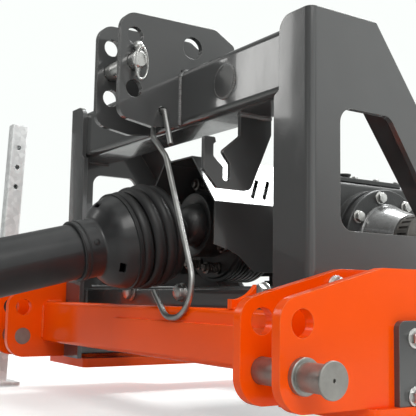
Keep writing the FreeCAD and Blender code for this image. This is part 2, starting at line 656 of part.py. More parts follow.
def side_output_shaft():
    nose_x = SIDE_HUB_X + SIDE_HUB_LENGTH
    ring_x = nose_x + COUPLING_GAP + COUPLING_LENGTH
    seat = rod_x(SIDE_AXIS_Y, SIDE_AXIS_Z, OUTPUT_SEAT_RADIUS - 0.05, nose_x - OUTPUT_SEAT_DEPTH + 1, ring_x)
    end = rod_x(SIDE_AXIS_Y, SIDE_AXIS_Z, OUTPUT_SHAFT_RADIUS, ring_x, ring_x + OUTPUT_SHAFT_LENGTH)
    end = end.makeChamfer(2.0, [e for e in end.Edges if e.BoundBox.XMin > ring_x + 1])
    return seat.fuse(end).removeSplitter()


def blind_cover():
    """Closed bearing cover on the other cheek of the case."""
    x0 = -GEARBOX_HALF_WIDTH - CHEEK_HEIGHT
    ring = rod_x(SIDE_AXIS_Y, SIDE_AXIS_Z, SIDE_DISC_RADIUS - 3, x0 - SIDE_DISC_WALL, x0)
    dome = rod_x(SIDE_AXIS_Y, SIDE_AXIS_Z, 66.0, x0 - SIDE_DISC_WALL - 14, x0 - SIDE_DISC_WALL)
    dome = dome.makeFillet(8.0, [e for e in dome.Edges if e.BoundBox.XMax < x0 - SIDE_DISC_WALL - 1])
    return ring.fuse(dome).removeSplitter()


def shield_section(half_width, ridge_half, shoulder_z, ridge_z, low_z):
    return [(-half_width, low_z), (-half_width, shoulder_z), (-ridge_half, ridge_z), (ridge_half, ridge_z),
            (half_width, shoulder_z), (half_width, low_z)]


def drive_shield():
    """Folded sheet: two skirts, two slotted slopes, a flat ridge and a rear wall round the shaft."""
    low = SHIELD_SKIRT_Z
    outer = plate_y(shield_section(SHIELD_HALF_WIDTH, SHIELD_RIDGE_HALF_WIDTH, SHIELD_SHOULDER_Z,
                                   SHIELD_RIDGE_Z, low), SHIELD_FRONT_Y, GEARBOX_FRONT_Y)
    wall = SHIELD_WALL
    inner = plate_y(shield_section(SHIELD_HALF_WIDTH - wall, SHIELD_RIDGE_HALF_WIDTH - wall * 0.5,
                                   SHIELD_SHOULDER_Z - wall * 0.4, SHIELD_RIDGE_Z - wall, low),
                    SHIELD_FRONT_Y, GEARBOX_FRONT_Y - wall)
    sheet = outer.cut(inner)
    skirt_cut = plate_x([(SHIELD_FRONT_Y - 1, low - 1), (226, low - 1), (226, SHIELD_SKIRT_Z),
                         (193, 105, 10), (174, 114), (SHIELD_FRONT_Y - 1, SHIELD_FRONT_SKIRT_Z)],
                        -SHIELD_HALF_WIDTH - 1, SHIELD_HALF_WIDTH + 1)
    sheet = sheet.cut(skirt_cut)
    sheet = sheet.cut(rod_y(0, SHAFT_Z, 60.0, GEARBOX_FRONT_Y - wall - 1, GEARBOX_FRONT_Y + 1))
    run = SHIELD_HALF_WIDTH - SHIELD_RIDGE_HALF_WIDTH
    rise = SHIELD_RIDGE_Z - SHIELD_SHOULDER_Z
    slope_length = math.hypot(run, rise)
    across = V(-run / slope_length, 0, rise / slope_length)
    normal = V(rise / slope_length, 0, run / slope_length)
    for i in range(SHIELD_SLOTS):
        slot_y = SHIELD_SLOT_Y + SHIELD_SLOT_PITCH * i
        start = V(SHIELD_HALF_WIDTH, slot_y, SHIELD_SHOULDER_Z) + across * SHIELD_SLOT_LIFT
        end = start + across * SHIELD_SLOT_RUN + V(0, SHIELD_SLOT_SHIFT, 0)
        along = (end - start).normalize()
        side = along.cross(normal).normalize() * (SHIELD_SLOT_WIDTH / 2)
        corners = [start + side, end + side, end - side, start - side, start + side]
        slot = Part.Face(Part.makePolygon([c - normal * 6 for c in corners])).extrude(normal * 12)
        sheet = sheet.cut(slot).cut(mirrored(slot))
    return sheet


# Clutch on the input shaft

def clutch_pack():
    """Friction clutch: grooved disc pack between two pressure plates, and the hub behind it."""
    y = CLUTCH_FRONT_Y
    r = CLUTCH_RADIUS
    profile = [(y, 0), (y, r - 8)]
    for i in range(CLUTCH_DISCS):
        front = y + 6 + i * CLUTCH_DISC_PITCH
        profile += [(front, r - CLUTCH_GROOVE), (front, r), (front + 6, r), (front + 6, r - CLUTCH_GROOVE)]
    back = y + 10 + CLUTCH_DISCS * CLUTCH_DISC_PITCH
    profile += [(back, r - 8), (back, CLUTCH_HUB_RADIUS), (back + CLUTCH_HUB_LENGTH, CLUTCH_HUB_RADIUS),
                (back + CLUTCH_HUB_LENGTH, 0)]
    wire = outline(profile, lambda y, r: V(r, y, SHAFT_Z))
    return Part.Face(wire).revolve(V(0, 0, SHAFT_Z), Y_AXIS, 360)


def input_shaft():
    y0 = CLUTCH_FRONT_Y + 10 + CLUTCH_DISCS * CLUTCH_DISC_PITCH + CLUTCH_HUB_LENGTH
    return rod_y(0, SHAFT_Z, INPUT_SHAFT_RADIUS, y0, GEARBOX_FRONT_Y + INPUT_SEAT_DEPTH - 1)


def joint_bell():
    """Bell of the rear joint on the front of the clutch, hollowed by a sphere and open to the front."""
    front = JOINT_Y - 6
    centre = V(0, JOINT_Y, SHAFT_Z)
    bell = rod_y(0, SHAFT_Z, BELL_RADIUS, front, CLUTCH_FRONT_Y)
    hollow = Part.makeSphere(BALL_RADIUS + BALL_CLEARANCE, centre)
    mouth = Part.makeCone(BALL_RADIUS + BALL_CLEARANCE, BELL_RADIUS - 4, JOINT_Y - front + 0.01,
                          V(0, JOINT_Y, SHAFT_Z), V(0, -1, 0))
    return bell.cut(hollow).cut(mouth)


# Drive shaft: made along -Y from its rear joint, then tilted down towards the tractor

def on_shaft(shape):
    placed = shape.copy()
    placed.rotate(V(0, 0, 0), X_AXIS, SHAFT_TILT)
    placed.translate(V(0, JOINT_Y, SHAFT_Z))
    return placed


def turned(points):
    """Solid of revolution from (s, radius) points along the shaft."""
    wire = outline(points, lambda s, r: V(r, -s, 0))
    return on_shaft(Part.Face(wire).revolve(V(0, 0, 0), Y_AXIS, 360))


def square_bar(size, radius, s0, s1):
    half = size / 2
    return plate_y(rectangle(-half, half, -half, half, radius), -s1, -s0)


def bellows():
    """Rubber bellows: rings of one arc each, gripped by the rim of the dome."""
    crests = BELLOWS_CRESTS
    half_pitch = BELLOWS_HALF_PITCH
    depth = BELLOWS_DEPTH

    def wavy(offset):
        edges = []
        for s, crest in crests:
            low = crest - depth + offset
            edges.append(Part.Arc(V(low, -(s - half_pitch), 0), V(crest + offset, -s, 0),
                                  V(low, -(s + half_pitch), 0)).toShape())
        joined = [edges[0]]
        for edge in edges[1:]:
            last = joined[-1].Vertexes[-1].Point
            first = edge.Vertexes[0].Point
            joined.append(Part.LineSegment(last, first).toShape())
            joined.append(edge)
        return joined

    outer = wavy(0.0)
    inner = wavy(-GUARD_WALL)
    rim_s = BELLOWS_END
    outer_end = outer[-1].Vertexes[-1].Point
    inner_end = inner[-1].Vertexes[-1].Point
    outer_start = outer[0].Vertexes[0].Point
    inner_start = inner[0].Vertexes[0].Point
    bead = V(CONE_RIM_RADIUS + 3, -rim_s + 7, 0)
    rim_out = V(CONE_RIM_RADIUS + 3, -rim_s, 0)
    rim_in = V(CONE_RIM_RADIUS - 3.5, -rim_s, 0)
    corners = [outer_end, bead, rim_out, rim_in, inner_end]
    edges = outer + inner + [Part.LineSegment(inner_start, outer_start).toShape()]
    for i in range(len(corners) - 1):
        edges.append(Part.LineSegment(corners[i], corners[i + 1]).toShape())
    wire = Part.Wire(Part.__sortEdges__(edges))
    return on_shaft(Part.Face(wire).revolve(V(0, 0, 0), Y_AXIS, 360))


def guard_cone():
    """Hard plastic dome with a collar for the guard tube, pierced by small windows."""
    w = GUARD_WALL
    profile = [(CONE_RIM_S + 3, CONE_RIM_RADIUS - w), (CONE_RIM_S + 3, CONE_RIM_RADIUS),
               (CONE_SHOULDER_S, CONE_SHOULDER_RADIUS, 45), (CONE_NECK_S, COLLAR_OUTER_RADIUS, 6),
               (COLLAR_S, COLLAR_OUTER_RADIUS, 1), (COLLAR_S, TUBE_RADIUS),
               (CONE_NECK_S - 2, TUBE_RADIUS, 3), (CONE_SHOULDER_S - 2, CONE_SHOULDER_RADIUS - w, 42)]
    cone = turned(profile)
    half = CONE_WINDOW_WIDTH / 2
    for i in range(CONE_WINDOWS):
        slot = box(-half, half, -CONE_WINDOW_S[1], -CONE_WINDOW_S[0], CONE_SHOULDER_RADIUS - 25,
                   CONE_SHOULDER_RADIUS + 15)
        slot.rotate(V(0, 0, 0), Y_AXIS, 360 / CONE_WINDOWS * i + CONE_WINDOW_TURN)
        cone = cone.cut(on_shaft(slot))
    return cone


def guard_tube():
    return turned([(TUBE_S[0], TUBE_RADIUS - TUBE_WALL), (TUBE_S[0], TUBE_RADIUS), (TUBE_S[1], TUBE_RADIUS),
                   (TUBE_S[1], TUBE_RADIUS - TUBE_WALL)])


def inner_guard_tube():
    radius = TUBE_RADIUS - TUBE_WALL - INNER_TUBE_GAP
    start, end = INNER_TUBE_S
    inner = radius - TUBE_WALL
    return turned([(start, inner), (start, radius), (end, radius), (end, inner)])


def front_guard_cone():
    radius = TUBE_RADIUS - TUBE_WALL - INNER_TUBE_GAP
    w = GUARD_WALL
    neck = FRONT_CONE_NECK_S
    return turned([(neck - 22, radius), (neck - 22, radius + w), (neck, radius + w, 6),
                   (neck + 34, FRONT_CONE_RIM_RADIUS - 8, 30), (FRONT_CONE_RIM_S, FRONT_CONE_RIM_RADIUS),
                   (FRONT_CONE_RIM_S, FRONT_CONE_RIM_RADIUS - w),
                   (neck + 34, FRONT_CONE_RIM_RADIUS - 8 - w, 27),
                   (neck + 2, radius, 4)])


def bearing_ring(span, journal_radius, seat_radius):
    return turned([(span[0], journal_radius + BEARING_CLEARANCE), (span[0], seat_radius),
                   (span[1], seat_radius), (span[1], journal_radius + BEARING_CLEARANCE)])


def drive_ball():
    """Ball of the rear joint with its stub."""
    ball = Part.makeSphere(BALL_RADIUS)
    stub = Part.makeCylinder(24.0, BAR_S[0], V(0, -BAR_S[0], 0), Y_AXIS)
    return on_shaft(ball.fuse(stub).removeSplitter())


def drive_bar():
    """Square inner tube of the shaft, with the journal that the rear guard runs on."""
    bar = square_bar(BAR_SIZE, 4.0, BAR_S[0], BAR_S[1])
    journal = Part.makeCylinder(REAR_JOURNAL_RADIUS, REAR_BEARING_S[1] - REAR_BEARING_S[0] + 12,
                                V(0, -REAR_BEARING_S[1] - 6, 0), Y_AXIS)
    bore = square_bar(BAR_SIZE - 2 * BAR_WALL, 2.0, BAR_S[0] + 20, BAR_S[1])
    return on_shaft(bar.fuse(journal).removeSplitter().cut(bore))


def drive_sleeve():
    """Square outer tube that slides on the bar, with the front guard's journal and a fork at its end."""
    sleeve = square_bar(SLEEVE_SIZE, 8.0, SLEEVE_S[0], SLEEVE_S[1])
    bore = square_bar(BAR_SIZE + 2 * SLIDE_CLEARANCE, 4.0, SLEEVE_S[0], SLEEVE_S[1] - 30)
    journal = Part.makeCylinder(FRONT_JOURNAL_RADIUS, FRONT_BEARING_S[1] - FRONT_BEARING_S[0] + 8,
                                V(0, -FRONT_BEARING_S[1] - 4, 0), Y_AXIS)
    fork = yoke_arms(CROSS_S - YOKE_BASE, CROSS_S)
    base_s = CROSS_S - YOKE_BASE
    base = Part.makeCylinder(34.0, base_s - SLEEVE_S[1] + 4, V(0, -base_s - 4, 0), Y_AXIS)
    return on_shaft(sleeve.fuse([journal, base, fork]).removeSplitter().cut(bore))


def yoke_arms(base_s, centre_s):
    """Fork with two rounded arms across local X, bored for the trunnions of the cross."""
    inner = YOKE_HALF_SPAN - YOKE_ARM
    toward = 1 if centre_s > base_s else -1
    block = box(-YOKE_HALF_SPAN, YOKE_HALF_SPAN, -max(base_s, centre_s), -min(base_s, centre_s),
                -YOKE_ARM_RADIUS, YOKE_ARM_RADIUS)
    tips = Part.makeCylinder(YOKE_ARM_RADIUS, 2 * YOKE_HALF_SPAN, V(-YOKE_HALF_SPAN, -centre_s, 0), X_AXIS)
    fork = block.fuse(tips).removeSplitter()
    slot_end = base_s + toward * 6
    far = centre_s + toward * (YOKE_ARM_RADIUS + 1)
    reach = YOKE_ARM_RADIUS + 1
    gap = box(-inner, inner, -max(slot_end, far), -min(slot_end, far), -reach, reach)
    bore = Part.makeCylinder(TRUNNION_RADIUS + TRUNNION_CLEARANCE, 2 * YOKE_HALF_SPAN + 2,
                             V(-YOKE_HALF_SPAN - 1, -centre_s, 0), X_AXIS)
    return fork.cut(gap).cut(bore)


def joint_cross():
    """Universal joint cross with four trunnions and a grease nipple boss."""
    reach = YOKE_HALF_SPAN - 0.5
    arm_x = Part.makeCylinder(TRUNNION_RADIUS, 2 * reach, V(-reach, -CROSS_S, 0), X_AXIS)
    arm_z = Part.makeCylinder(TRUNNION_RADIUS, 2 * reach, V(0, -CROSS_S, -reach), Z_AXIS)
    hub = Part.makeSphere(19.0, V(0, -CROSS_S, 0))
    return on_shaft(hub.fuse([arm_x, arm_z]).removeSplitter())


def tractor_yoke():
    """Fork across local Z with a splined hub that pushes on to the tractor's stub shaft."""
    fork = yoke_arms(CROSS_S + YOKE_BASE, CROSS_S)
    fork.rotate(V(0, 0, 0), Y_AXIS, 90)
    end_s = CROSS_S + YOKE_BASE + YOKE_HUB_LENGTH
    hub = Part.makeCylinder(YOKE_HUB_RADIUS, YOKE_HUB_LENGTH + 5, V(0, -end_s, 0), Y_AXIS)
    bead = Part.makeCylinder(YOKE_HUB_RADIUS + 5, 16, V(0, -end_s + 12, 0), Y_AXIS)
    solid = fork.fuse([hub, bead]).removeSplitter()
    bore_start = V(0, -end_s - 1, 0)
    bore_length = YOKE_HUB_LENGTH + 12
    solid = solid.cut(Part.makeCylinder(SPLINE_MINOR_RADIUS, bore_length, bore_start, Y_AXIS))
    for i in range(SPLINES):
        groove = box(-SPLINE_WIDTH / 2, SPLINE_WIDTH / 2, -end_s - 1, -end_s - 1 + bore_length,
                     0, SPLINE_MAJOR_RADIUS - 0.6)
        groove.rotate(V(0, 0, 0), Y_AXIS, 360 / SPLINES * i)
        solid = solid.cut(groove)
    return on_shaft(solid)


# Hanging hook and parking leg

def wire_hook():
    """Bent round wire through the small hole of the left top link plate, its J resting on the front bar.

    The route gives x and the drop below the hole, in a plane that leans forward from the hole.
    """
    route = [(96.5, 71, 0), (63, 0, 12), (21, 0, 12), (29, 46, 14), (84, 91, 40), (203, 307, 60),
             (203, 378, 48), (131, 378, 40), (82, 334, 0)]
    lean = math.radians(HOOK_LEAN)
    rest_z = HOOK_HOLE_Z - (HOOK_HOLE_RADIUS - WIRE_RADIUS - HOOK_GAP)
    corners = [(V(x, HOOK_HOLE_Y - drop * math.sin(lean), rest_z - drop * math.cos(lean)), r)
               for x, drop, r in route]
    path = Part.Wire(rounded_edges(corners, False))
    start = corners[0][0]
    along = (corners[1][0] - start).normalize()
    section = Part.Wire(Part.makeCircle(WIRE_RADIUS, start, along))
    return path.makePipeShell([section], True, False)


def leaned(shape):
    placed = shape.copy()
    placed.rotate(V(0, LEG_CENTRE_Y, 0), X_AXIS, -LEG_LEAN)
    return placed


def parking_leg():
    """Perforated rectangular tube with a foot plate, drawn up into its sleeve."""
    x1 = LEG_FACE_X
    x0 = x1 - LEG_WIDTH
    y0 = LEG_CENTRE_Y - LEG_DEPTH / 2
    y1 = LEG_CENTRE_Y + LEG_DEPTH / 2
    z0 = LEG_TOP_Z - LEG_LENGTH
    tube = plate_z(rectangle(x0, x1, y0, y1, 4), z0, LEG_TOP_Z)
    hollow = plate_z(rectangle(x0 + LEG_WALL, x1 - LEG_WALL, y0 + LEG_WALL, y1 - LEG_WALL, 2), z0, LEG_TOP_Z)
    tube = tube.cut(hollow)
    for i in range(LEG_INDEX_HOLES):
        z = LEG_TOP_Z - LEG_FIRST_HOLE - i * LEG_HOLE_PITCH
        tube = tube.cut(rod_x(LEG_CENTRE_Y, z, LEG_HOLE_RADIUS, x0 - 1, x1 + 1))
    half = LEG_FOOT_SIZE / 2
    cx = (x0 + x1) / 2
    shoe = plate_z(rectangle(cx - half, cx + half, LEG_CENTRE_Y - half, LEG_CENTRE_Y + half, 10),
                   z0 - LEG_FOOT_WALL, z0)
    return leaned(tube.fuse(shoe).removeSplitter())


def leg_sleeve():
    """Short square sleeve, welded by two flat bars to a pad on the outer hitch plate."""
    gap = LEG_CLEARANCE
    x1 = LEG_FACE_X + gap
    x0 = LEG_FACE_X - LEG_WIDTH - gap
    y0 = LEG_CENTRE_Y - LEG_DEPTH / 2 - gap
    y1 = LEG_CENTRE_Y + LEG_DEPTH / 2 + gap
    w = LEG_SLEEVE_WALL
    outer = plate_z(rectangle(x0 - w, x1 + w, y0 - w, y1 + w, 6), SLEEVE_BOTTOM_Z, SLEEVE_TOP_Z)
    inner = plate_z(rectangle(x0, x1, y0, y1, 3.5), SLEEVE_BOTTOM_Z, SLEEVE_TOP_Z)
    sleeve = leaned(outer.cut(inner))
    plate_x1 = -(FRAME_OUTER_X + 2 * HITCH_WALL + HITCH_GAP)
    pad = box(plate_x1 - 8, plate_x1, -30, 54, -34, 36)
    pad = pad.cut(rod_x(0, 0, HITCH_HOLE_RADIUS + 3, plate_x1 - 9, plate_x1 + 1))
    arms = [box(x1 + w - 2, plate_x1 - 8, 2, 36, z, z + 10) for z in (-24.0, 26.0)]
    return sleeve.fuse([pad] + arms).removeSplitter()


def lock_plunger():
    """Spring plunger housing on the rear of the sleeve, drawn back clear of the leg."""
    y0 = LEG_CENTRE_Y + LEG_DEPTH / 2 + LEG_CLEARANCE + LEG_SLEEVE_WALL
    x = LEG_FACE_X - LEG_WIDTH / 2
    barrel = rod_y(x, 0, 11.0, y0, y0 + 26)
    knob = rod_y(x, 0, 8.0, y0 + 26, y0 + 44)
    knob = knob.makeFillet(3.0, [e for e in knob.Edges if e.BoundBox.YMin > y0 + 43])
    return leaned(barrel.fuse(knob).removeSplitter())


def pieces():
    """Node name to solid, in the layout frame."""
    seat = TUBE_RADIUS
    front_seat = TUBE_RADIUS - 2 * TUBE_WALL - INNER_TUBE_GAP
    paired = {"side_frame": side_frame(), "top_link_plate": top_link_plate(),
              "hitch_plate_inner": hitch_plate(FRAME_OUTER_X), "hitch_plate_outer": outer_hitch_plate(),
              "lower_pin": lower_pin(), "clamp_plate": clamp_plate(),
              "foot": foot()}
    found = {}
    for name, shape in paired.items():
        found[name + "_left"] = shape
        found[name + "_right"] = mirrored(shape)
    found.update({
        "saddle_gusset_left": saddle_gusset(), "cross_beam": cross_beam(), "top_link_pin": top_link_pin(),
        "linch_pin": linch_pin(),
        "notched_plate": notched_plate(), "front_bar": front_bar(), "main_bar": main_bar(),
        "rear_bar": rear_bar(), "gearbox_rail_left": gearbox_rail(1), "gearbox_rail_right": gearbox_rail(-1),
        "gearbox_housing": gearbox_housing(), "gearbox_lid": gearbox_lid(), "breather": breather(),
        "side_flange": side_flange(), "side_hub": side_hub(), "side_coupling": side_coupling(),
        "side_output_shaft": side_output_shaft(), "blind_cover": blind_cover(),
        "drive_shield": drive_shield(),
        "clutch_pack": clutch_pack(), "input_shaft": input_shaft(), "joint_bell": joint_bell(),
        "bellows": bellows(), "guard_cone": guard_cone(), "guard_tube": guard_tube(),
        "guard_bearing_rear": bearing_ring(REAR_BEARING_S, REAR_JOURNAL_RADIUS, seat),
        "drive_ball": drive_ball(), "drive_bar": drive_bar(),
        "inner_guard_tube": inner_guard_tube(), "front_guard_cone": front_guard_cone(),
        "guard_bearing_front": bearing_ring(FRONT_BEARING_S, FRONT_JOURNAL_RADIUS, front_seat),
        "drive_sleeve": drive_sleeve(), "joint_cross": joint_cross(),
        "tractor_yoke": tractor_yoke(), "wire_hook": wire_hook(), "parking_leg": parking_leg(),
        "leg_sleeve": leg_sleeve(), "lock_plunger": lock_plunger(),
    })
    return found


def main():
    os.makedirs("parts", exist_ok=True)
    for name, shape in pieces().items():
        moved = shape.copy()
        moved.translate(TO_MOUNT)
        moved.exportStep("parts/" + name + ".step")
        solids = len(moved.Solids)
        print(name, "solids", solids, "valid", moved.isValid(), "volume", round(moved.Volume / 1000, 1))


main()
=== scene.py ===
"""Finish, fasteners, welds and studio of a rotavator headstock: an add-on that also runs as a script."""

import json
import math
import random

import bmesh
import bpy
from bpy.props import FloatProperty, FloatVectorProperty, IntProperty, PointerProperty
from mathutils import Matrix, Vector


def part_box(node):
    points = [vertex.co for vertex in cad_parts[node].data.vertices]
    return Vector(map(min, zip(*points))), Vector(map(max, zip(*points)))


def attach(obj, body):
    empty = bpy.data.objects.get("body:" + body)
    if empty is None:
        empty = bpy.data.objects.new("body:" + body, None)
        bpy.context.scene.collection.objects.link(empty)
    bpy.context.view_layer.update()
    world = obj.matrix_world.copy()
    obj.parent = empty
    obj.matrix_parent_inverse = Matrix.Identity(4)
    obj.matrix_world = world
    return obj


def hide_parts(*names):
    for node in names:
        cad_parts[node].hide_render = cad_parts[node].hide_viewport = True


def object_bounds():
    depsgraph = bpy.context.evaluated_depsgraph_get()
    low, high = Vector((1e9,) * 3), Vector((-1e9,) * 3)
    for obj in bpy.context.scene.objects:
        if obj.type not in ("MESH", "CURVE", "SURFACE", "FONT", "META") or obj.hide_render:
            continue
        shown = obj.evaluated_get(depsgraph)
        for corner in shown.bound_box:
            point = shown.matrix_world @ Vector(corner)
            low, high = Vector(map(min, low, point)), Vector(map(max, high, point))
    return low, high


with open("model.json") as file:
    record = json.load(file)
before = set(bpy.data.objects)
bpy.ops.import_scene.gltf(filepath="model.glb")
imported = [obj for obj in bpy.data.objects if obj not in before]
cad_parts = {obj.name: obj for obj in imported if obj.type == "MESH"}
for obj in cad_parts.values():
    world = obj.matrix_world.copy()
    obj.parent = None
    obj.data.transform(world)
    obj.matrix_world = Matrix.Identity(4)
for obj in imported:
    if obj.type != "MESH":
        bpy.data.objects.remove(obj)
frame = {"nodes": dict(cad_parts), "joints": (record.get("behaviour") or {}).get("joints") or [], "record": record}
cad_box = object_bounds()

bl_info = {
    "name": "Rotavator Headstock Finish",
    "version": (1, 0, 0),
    "blender": (4, 5, 0),
    "location": "View3D > Sidebar > Headstock",
    "description": "Paint, castings, bolts, welds and guards of a rotavator headstock",
    "category": "Object",
}

MM = 0.001
ROOT = "headstock"
SIDES = ("left", "right")
SIDE_SIGNS = (("left", 1), ("right", -1))
X_WAY = Vector((1, 0, 0))
Y_WAY = Vector((0, 1, 0))
Z_WAY = Vector((0, 0, 1))

# Sizes of the solids that their boxes don't tell
BEAM_DEPTH = 100 * MM
TUBE_CORNER = 12 * MM
BOSS_X = 199.5 * MM
BOSS_RADIUS = 29 * MM
FRONT_BAR_DEPTH = 50 * MM
DOUBLER_START = 370 * MM
DOUBLER_TOP = 64.5 * MM
DOUBLER_FACE = 5 * MM
BAR_BOLT_X = (-200 * MM, 7 * MM, 262 * MM)
GEARBOX_FOOT = 18 * MM
COVER_STEP = 14 * MM


def joint(name):
    """One joint of the frame, by name."""
    return next(j for j in frame["joints"] if j["name"] == name)


SHAFT_CENTRE = Vector(joint("shaft_pitch")["pos_m"])
SHAFT_WAY = Vector(joint("shaft_slide")["axis"])
CROSS_CENTRE = Vector(joint("cross_swing")["pos_m"])
OUTPUT_CENTRE = Vector(joint("output_spin")["pos_m"])


class FinishSettings(bpy.types.PropertyGroup):
    anthracite: FloatVectorProperty(
        name="Anthracite", description="Gloss paint of the frame", subtype="COLOR", size=3,
        default=(0.063, 0.064, 0.065))
    orange: FloatVectorProperty(
        name="Orange", description="Gloss paint of the hitch plates and front bar", subtype="COLOR", size=3,
        default=(1.0, 0.092, 0.001))
    casting: FloatVectorProperty(
        name="Casting", description="Painted casting of the gearbox", subtype="COLOR", size=3,
        default=(0.024, 0.025, 0.026))
    bare: FloatVectorProperty(
        name="Hub grey", description="Grey enamel on the cast hub of the side output", subtype="COLOR",
        size=3, default=(0.17, 0.17, 0.17))
    bright: FloatVectorProperty(
        name="Bright zinc", description="Fresh plating of bolts, top link pin and linch pin",
        subtype="COLOR", size=3, default=(0.66, 0.66, 0.65))
    zinc: FloatVectorProperty(
        name="Zinc", description="Weathered plating of the hook and lock plunger", subtype="COLOR",
        size=3, default=(0.44, 0.44, 0.435))
    turned: FloatVectorProperty(
        name="Turned steel", description="Bare hitch pins", subtype="COLOR", size=3,
        default=(0.36, 0.35, 0.33))
    steel: FloatVectorProperty(
        name="Oiled steel", description="Bare drive parts", subtype="COLOR", size=3,
        default=(0.20, 0.19, 0.18))
    plastic: FloatVectorProperty(
        name="Guard plastic", description="Black guard of the drive shaft", subtype="COLOR", size=3,
        default=(0.012, 0.012, 0.013))
    dust: FloatVectorProperty(
        name="Dust", description="Dry soil that settles on faces that look up", subtype="COLOR", size=3,
        default=(0.23, 0.20, 0.16))
    dust_amount: FloatProperty(
        name="Dust amount", description="Share of dust on upward faces", subtype="FACTOR", min=0, max=1,
        default=0.16)


class FastenerSettings(bpy.types.PropertyGroup):
    plate_bolt: FloatProperty(
        name="Plate bolt", description="Thread size of the clamp plate bolts", unit="LENGTH",
        default=0.0135)
    bar_bolt: FloatProperty(
        name="Bar bolt", description="Thread size of the bolts in the main bar", unit="LENGTH",
        default=0.018)
    case_bolt: FloatProperty(
        name="Case bolt", description="Thread size of the gearbox bolts", unit="LENGTH", default=0.010)
    flange_circle: FloatProperty(
        name="Flange circle", description="Radius of the bolt circle on the side flange", unit="LENGTH",
        default=0.100)
    flange_bolt: FloatProperty(
        name="Flange bolt", description="Thread size of the side flange's bolts", unit="LENGTH",
        default=0.013)
    flange_bolts: IntProperty(
        name="Flange bolts", description="Bolts round the side flange", min=3, default=8)


class WeldSettings(bpy.types.PropertyGroup):
    radius: FloatProperty(
        name="Bead radius", description="Half width of a weld bead", unit="LENGTH", default=0.0050)
    pitch: FloatProperty(
        name="Ripple pitch", description="Distance between two ripples", unit="LENGTH", default=0.0036)


class StageSettings(bpy.types.PropertyGroup):
    eye: FloatVectorProperty(
        name="Camera place", description="Place of the camera", subtype="TRANSLATION", unit="LENGTH", size=3,
        default=(1.2814, -1.0251, 0.1646))
    yaw: FloatProperty(
        name="Yaw", description="Turn of the view from -X towards +Y", subtype="ANGLE",
        default=math.radians(33.69))
    pitch: FloatProperty(
        name="Pitch", description="Tilt of the view upwards", subtype="ANGLE", default=math.radians(6.42))
    roll: FloatProperty(
        name="Roll", description="Roll of the camera", subtype="ANGLE", default=math.radians(0.95))
    lens: FloatProperty(
        name="Lens", description="Focal length in millimetres on a 36 mm wide picture", default=67.38)
    floor_gap: FloatProperty(
        name="Floor gap", description="Room between the lowest piece and the floor", unit="LENGTH",
        default=0.002)
    fill: FloatProperty(
        name="Fill", description="Strength of the world as a light", min=0, default=0.42)
    sky_power: FloatProperty(
        name="Sky", description="Power of the lamp above and behind", unit="POWER", min=0, default=95.0)
    key_power: FloatProperty(
        name="Key", description="Power of the lamp beside the camera", unit="POWER", min=0, default=50.0)
    front_power: FloatProperty(
        name="Front", description="Power of the lamp in front", unit="POWER", min=0, default=3.6)


def settings(group):
    """The add-on's settings of one group."""
    return getattr(bpy.context.scene, "headstock_" + group)


# Materials

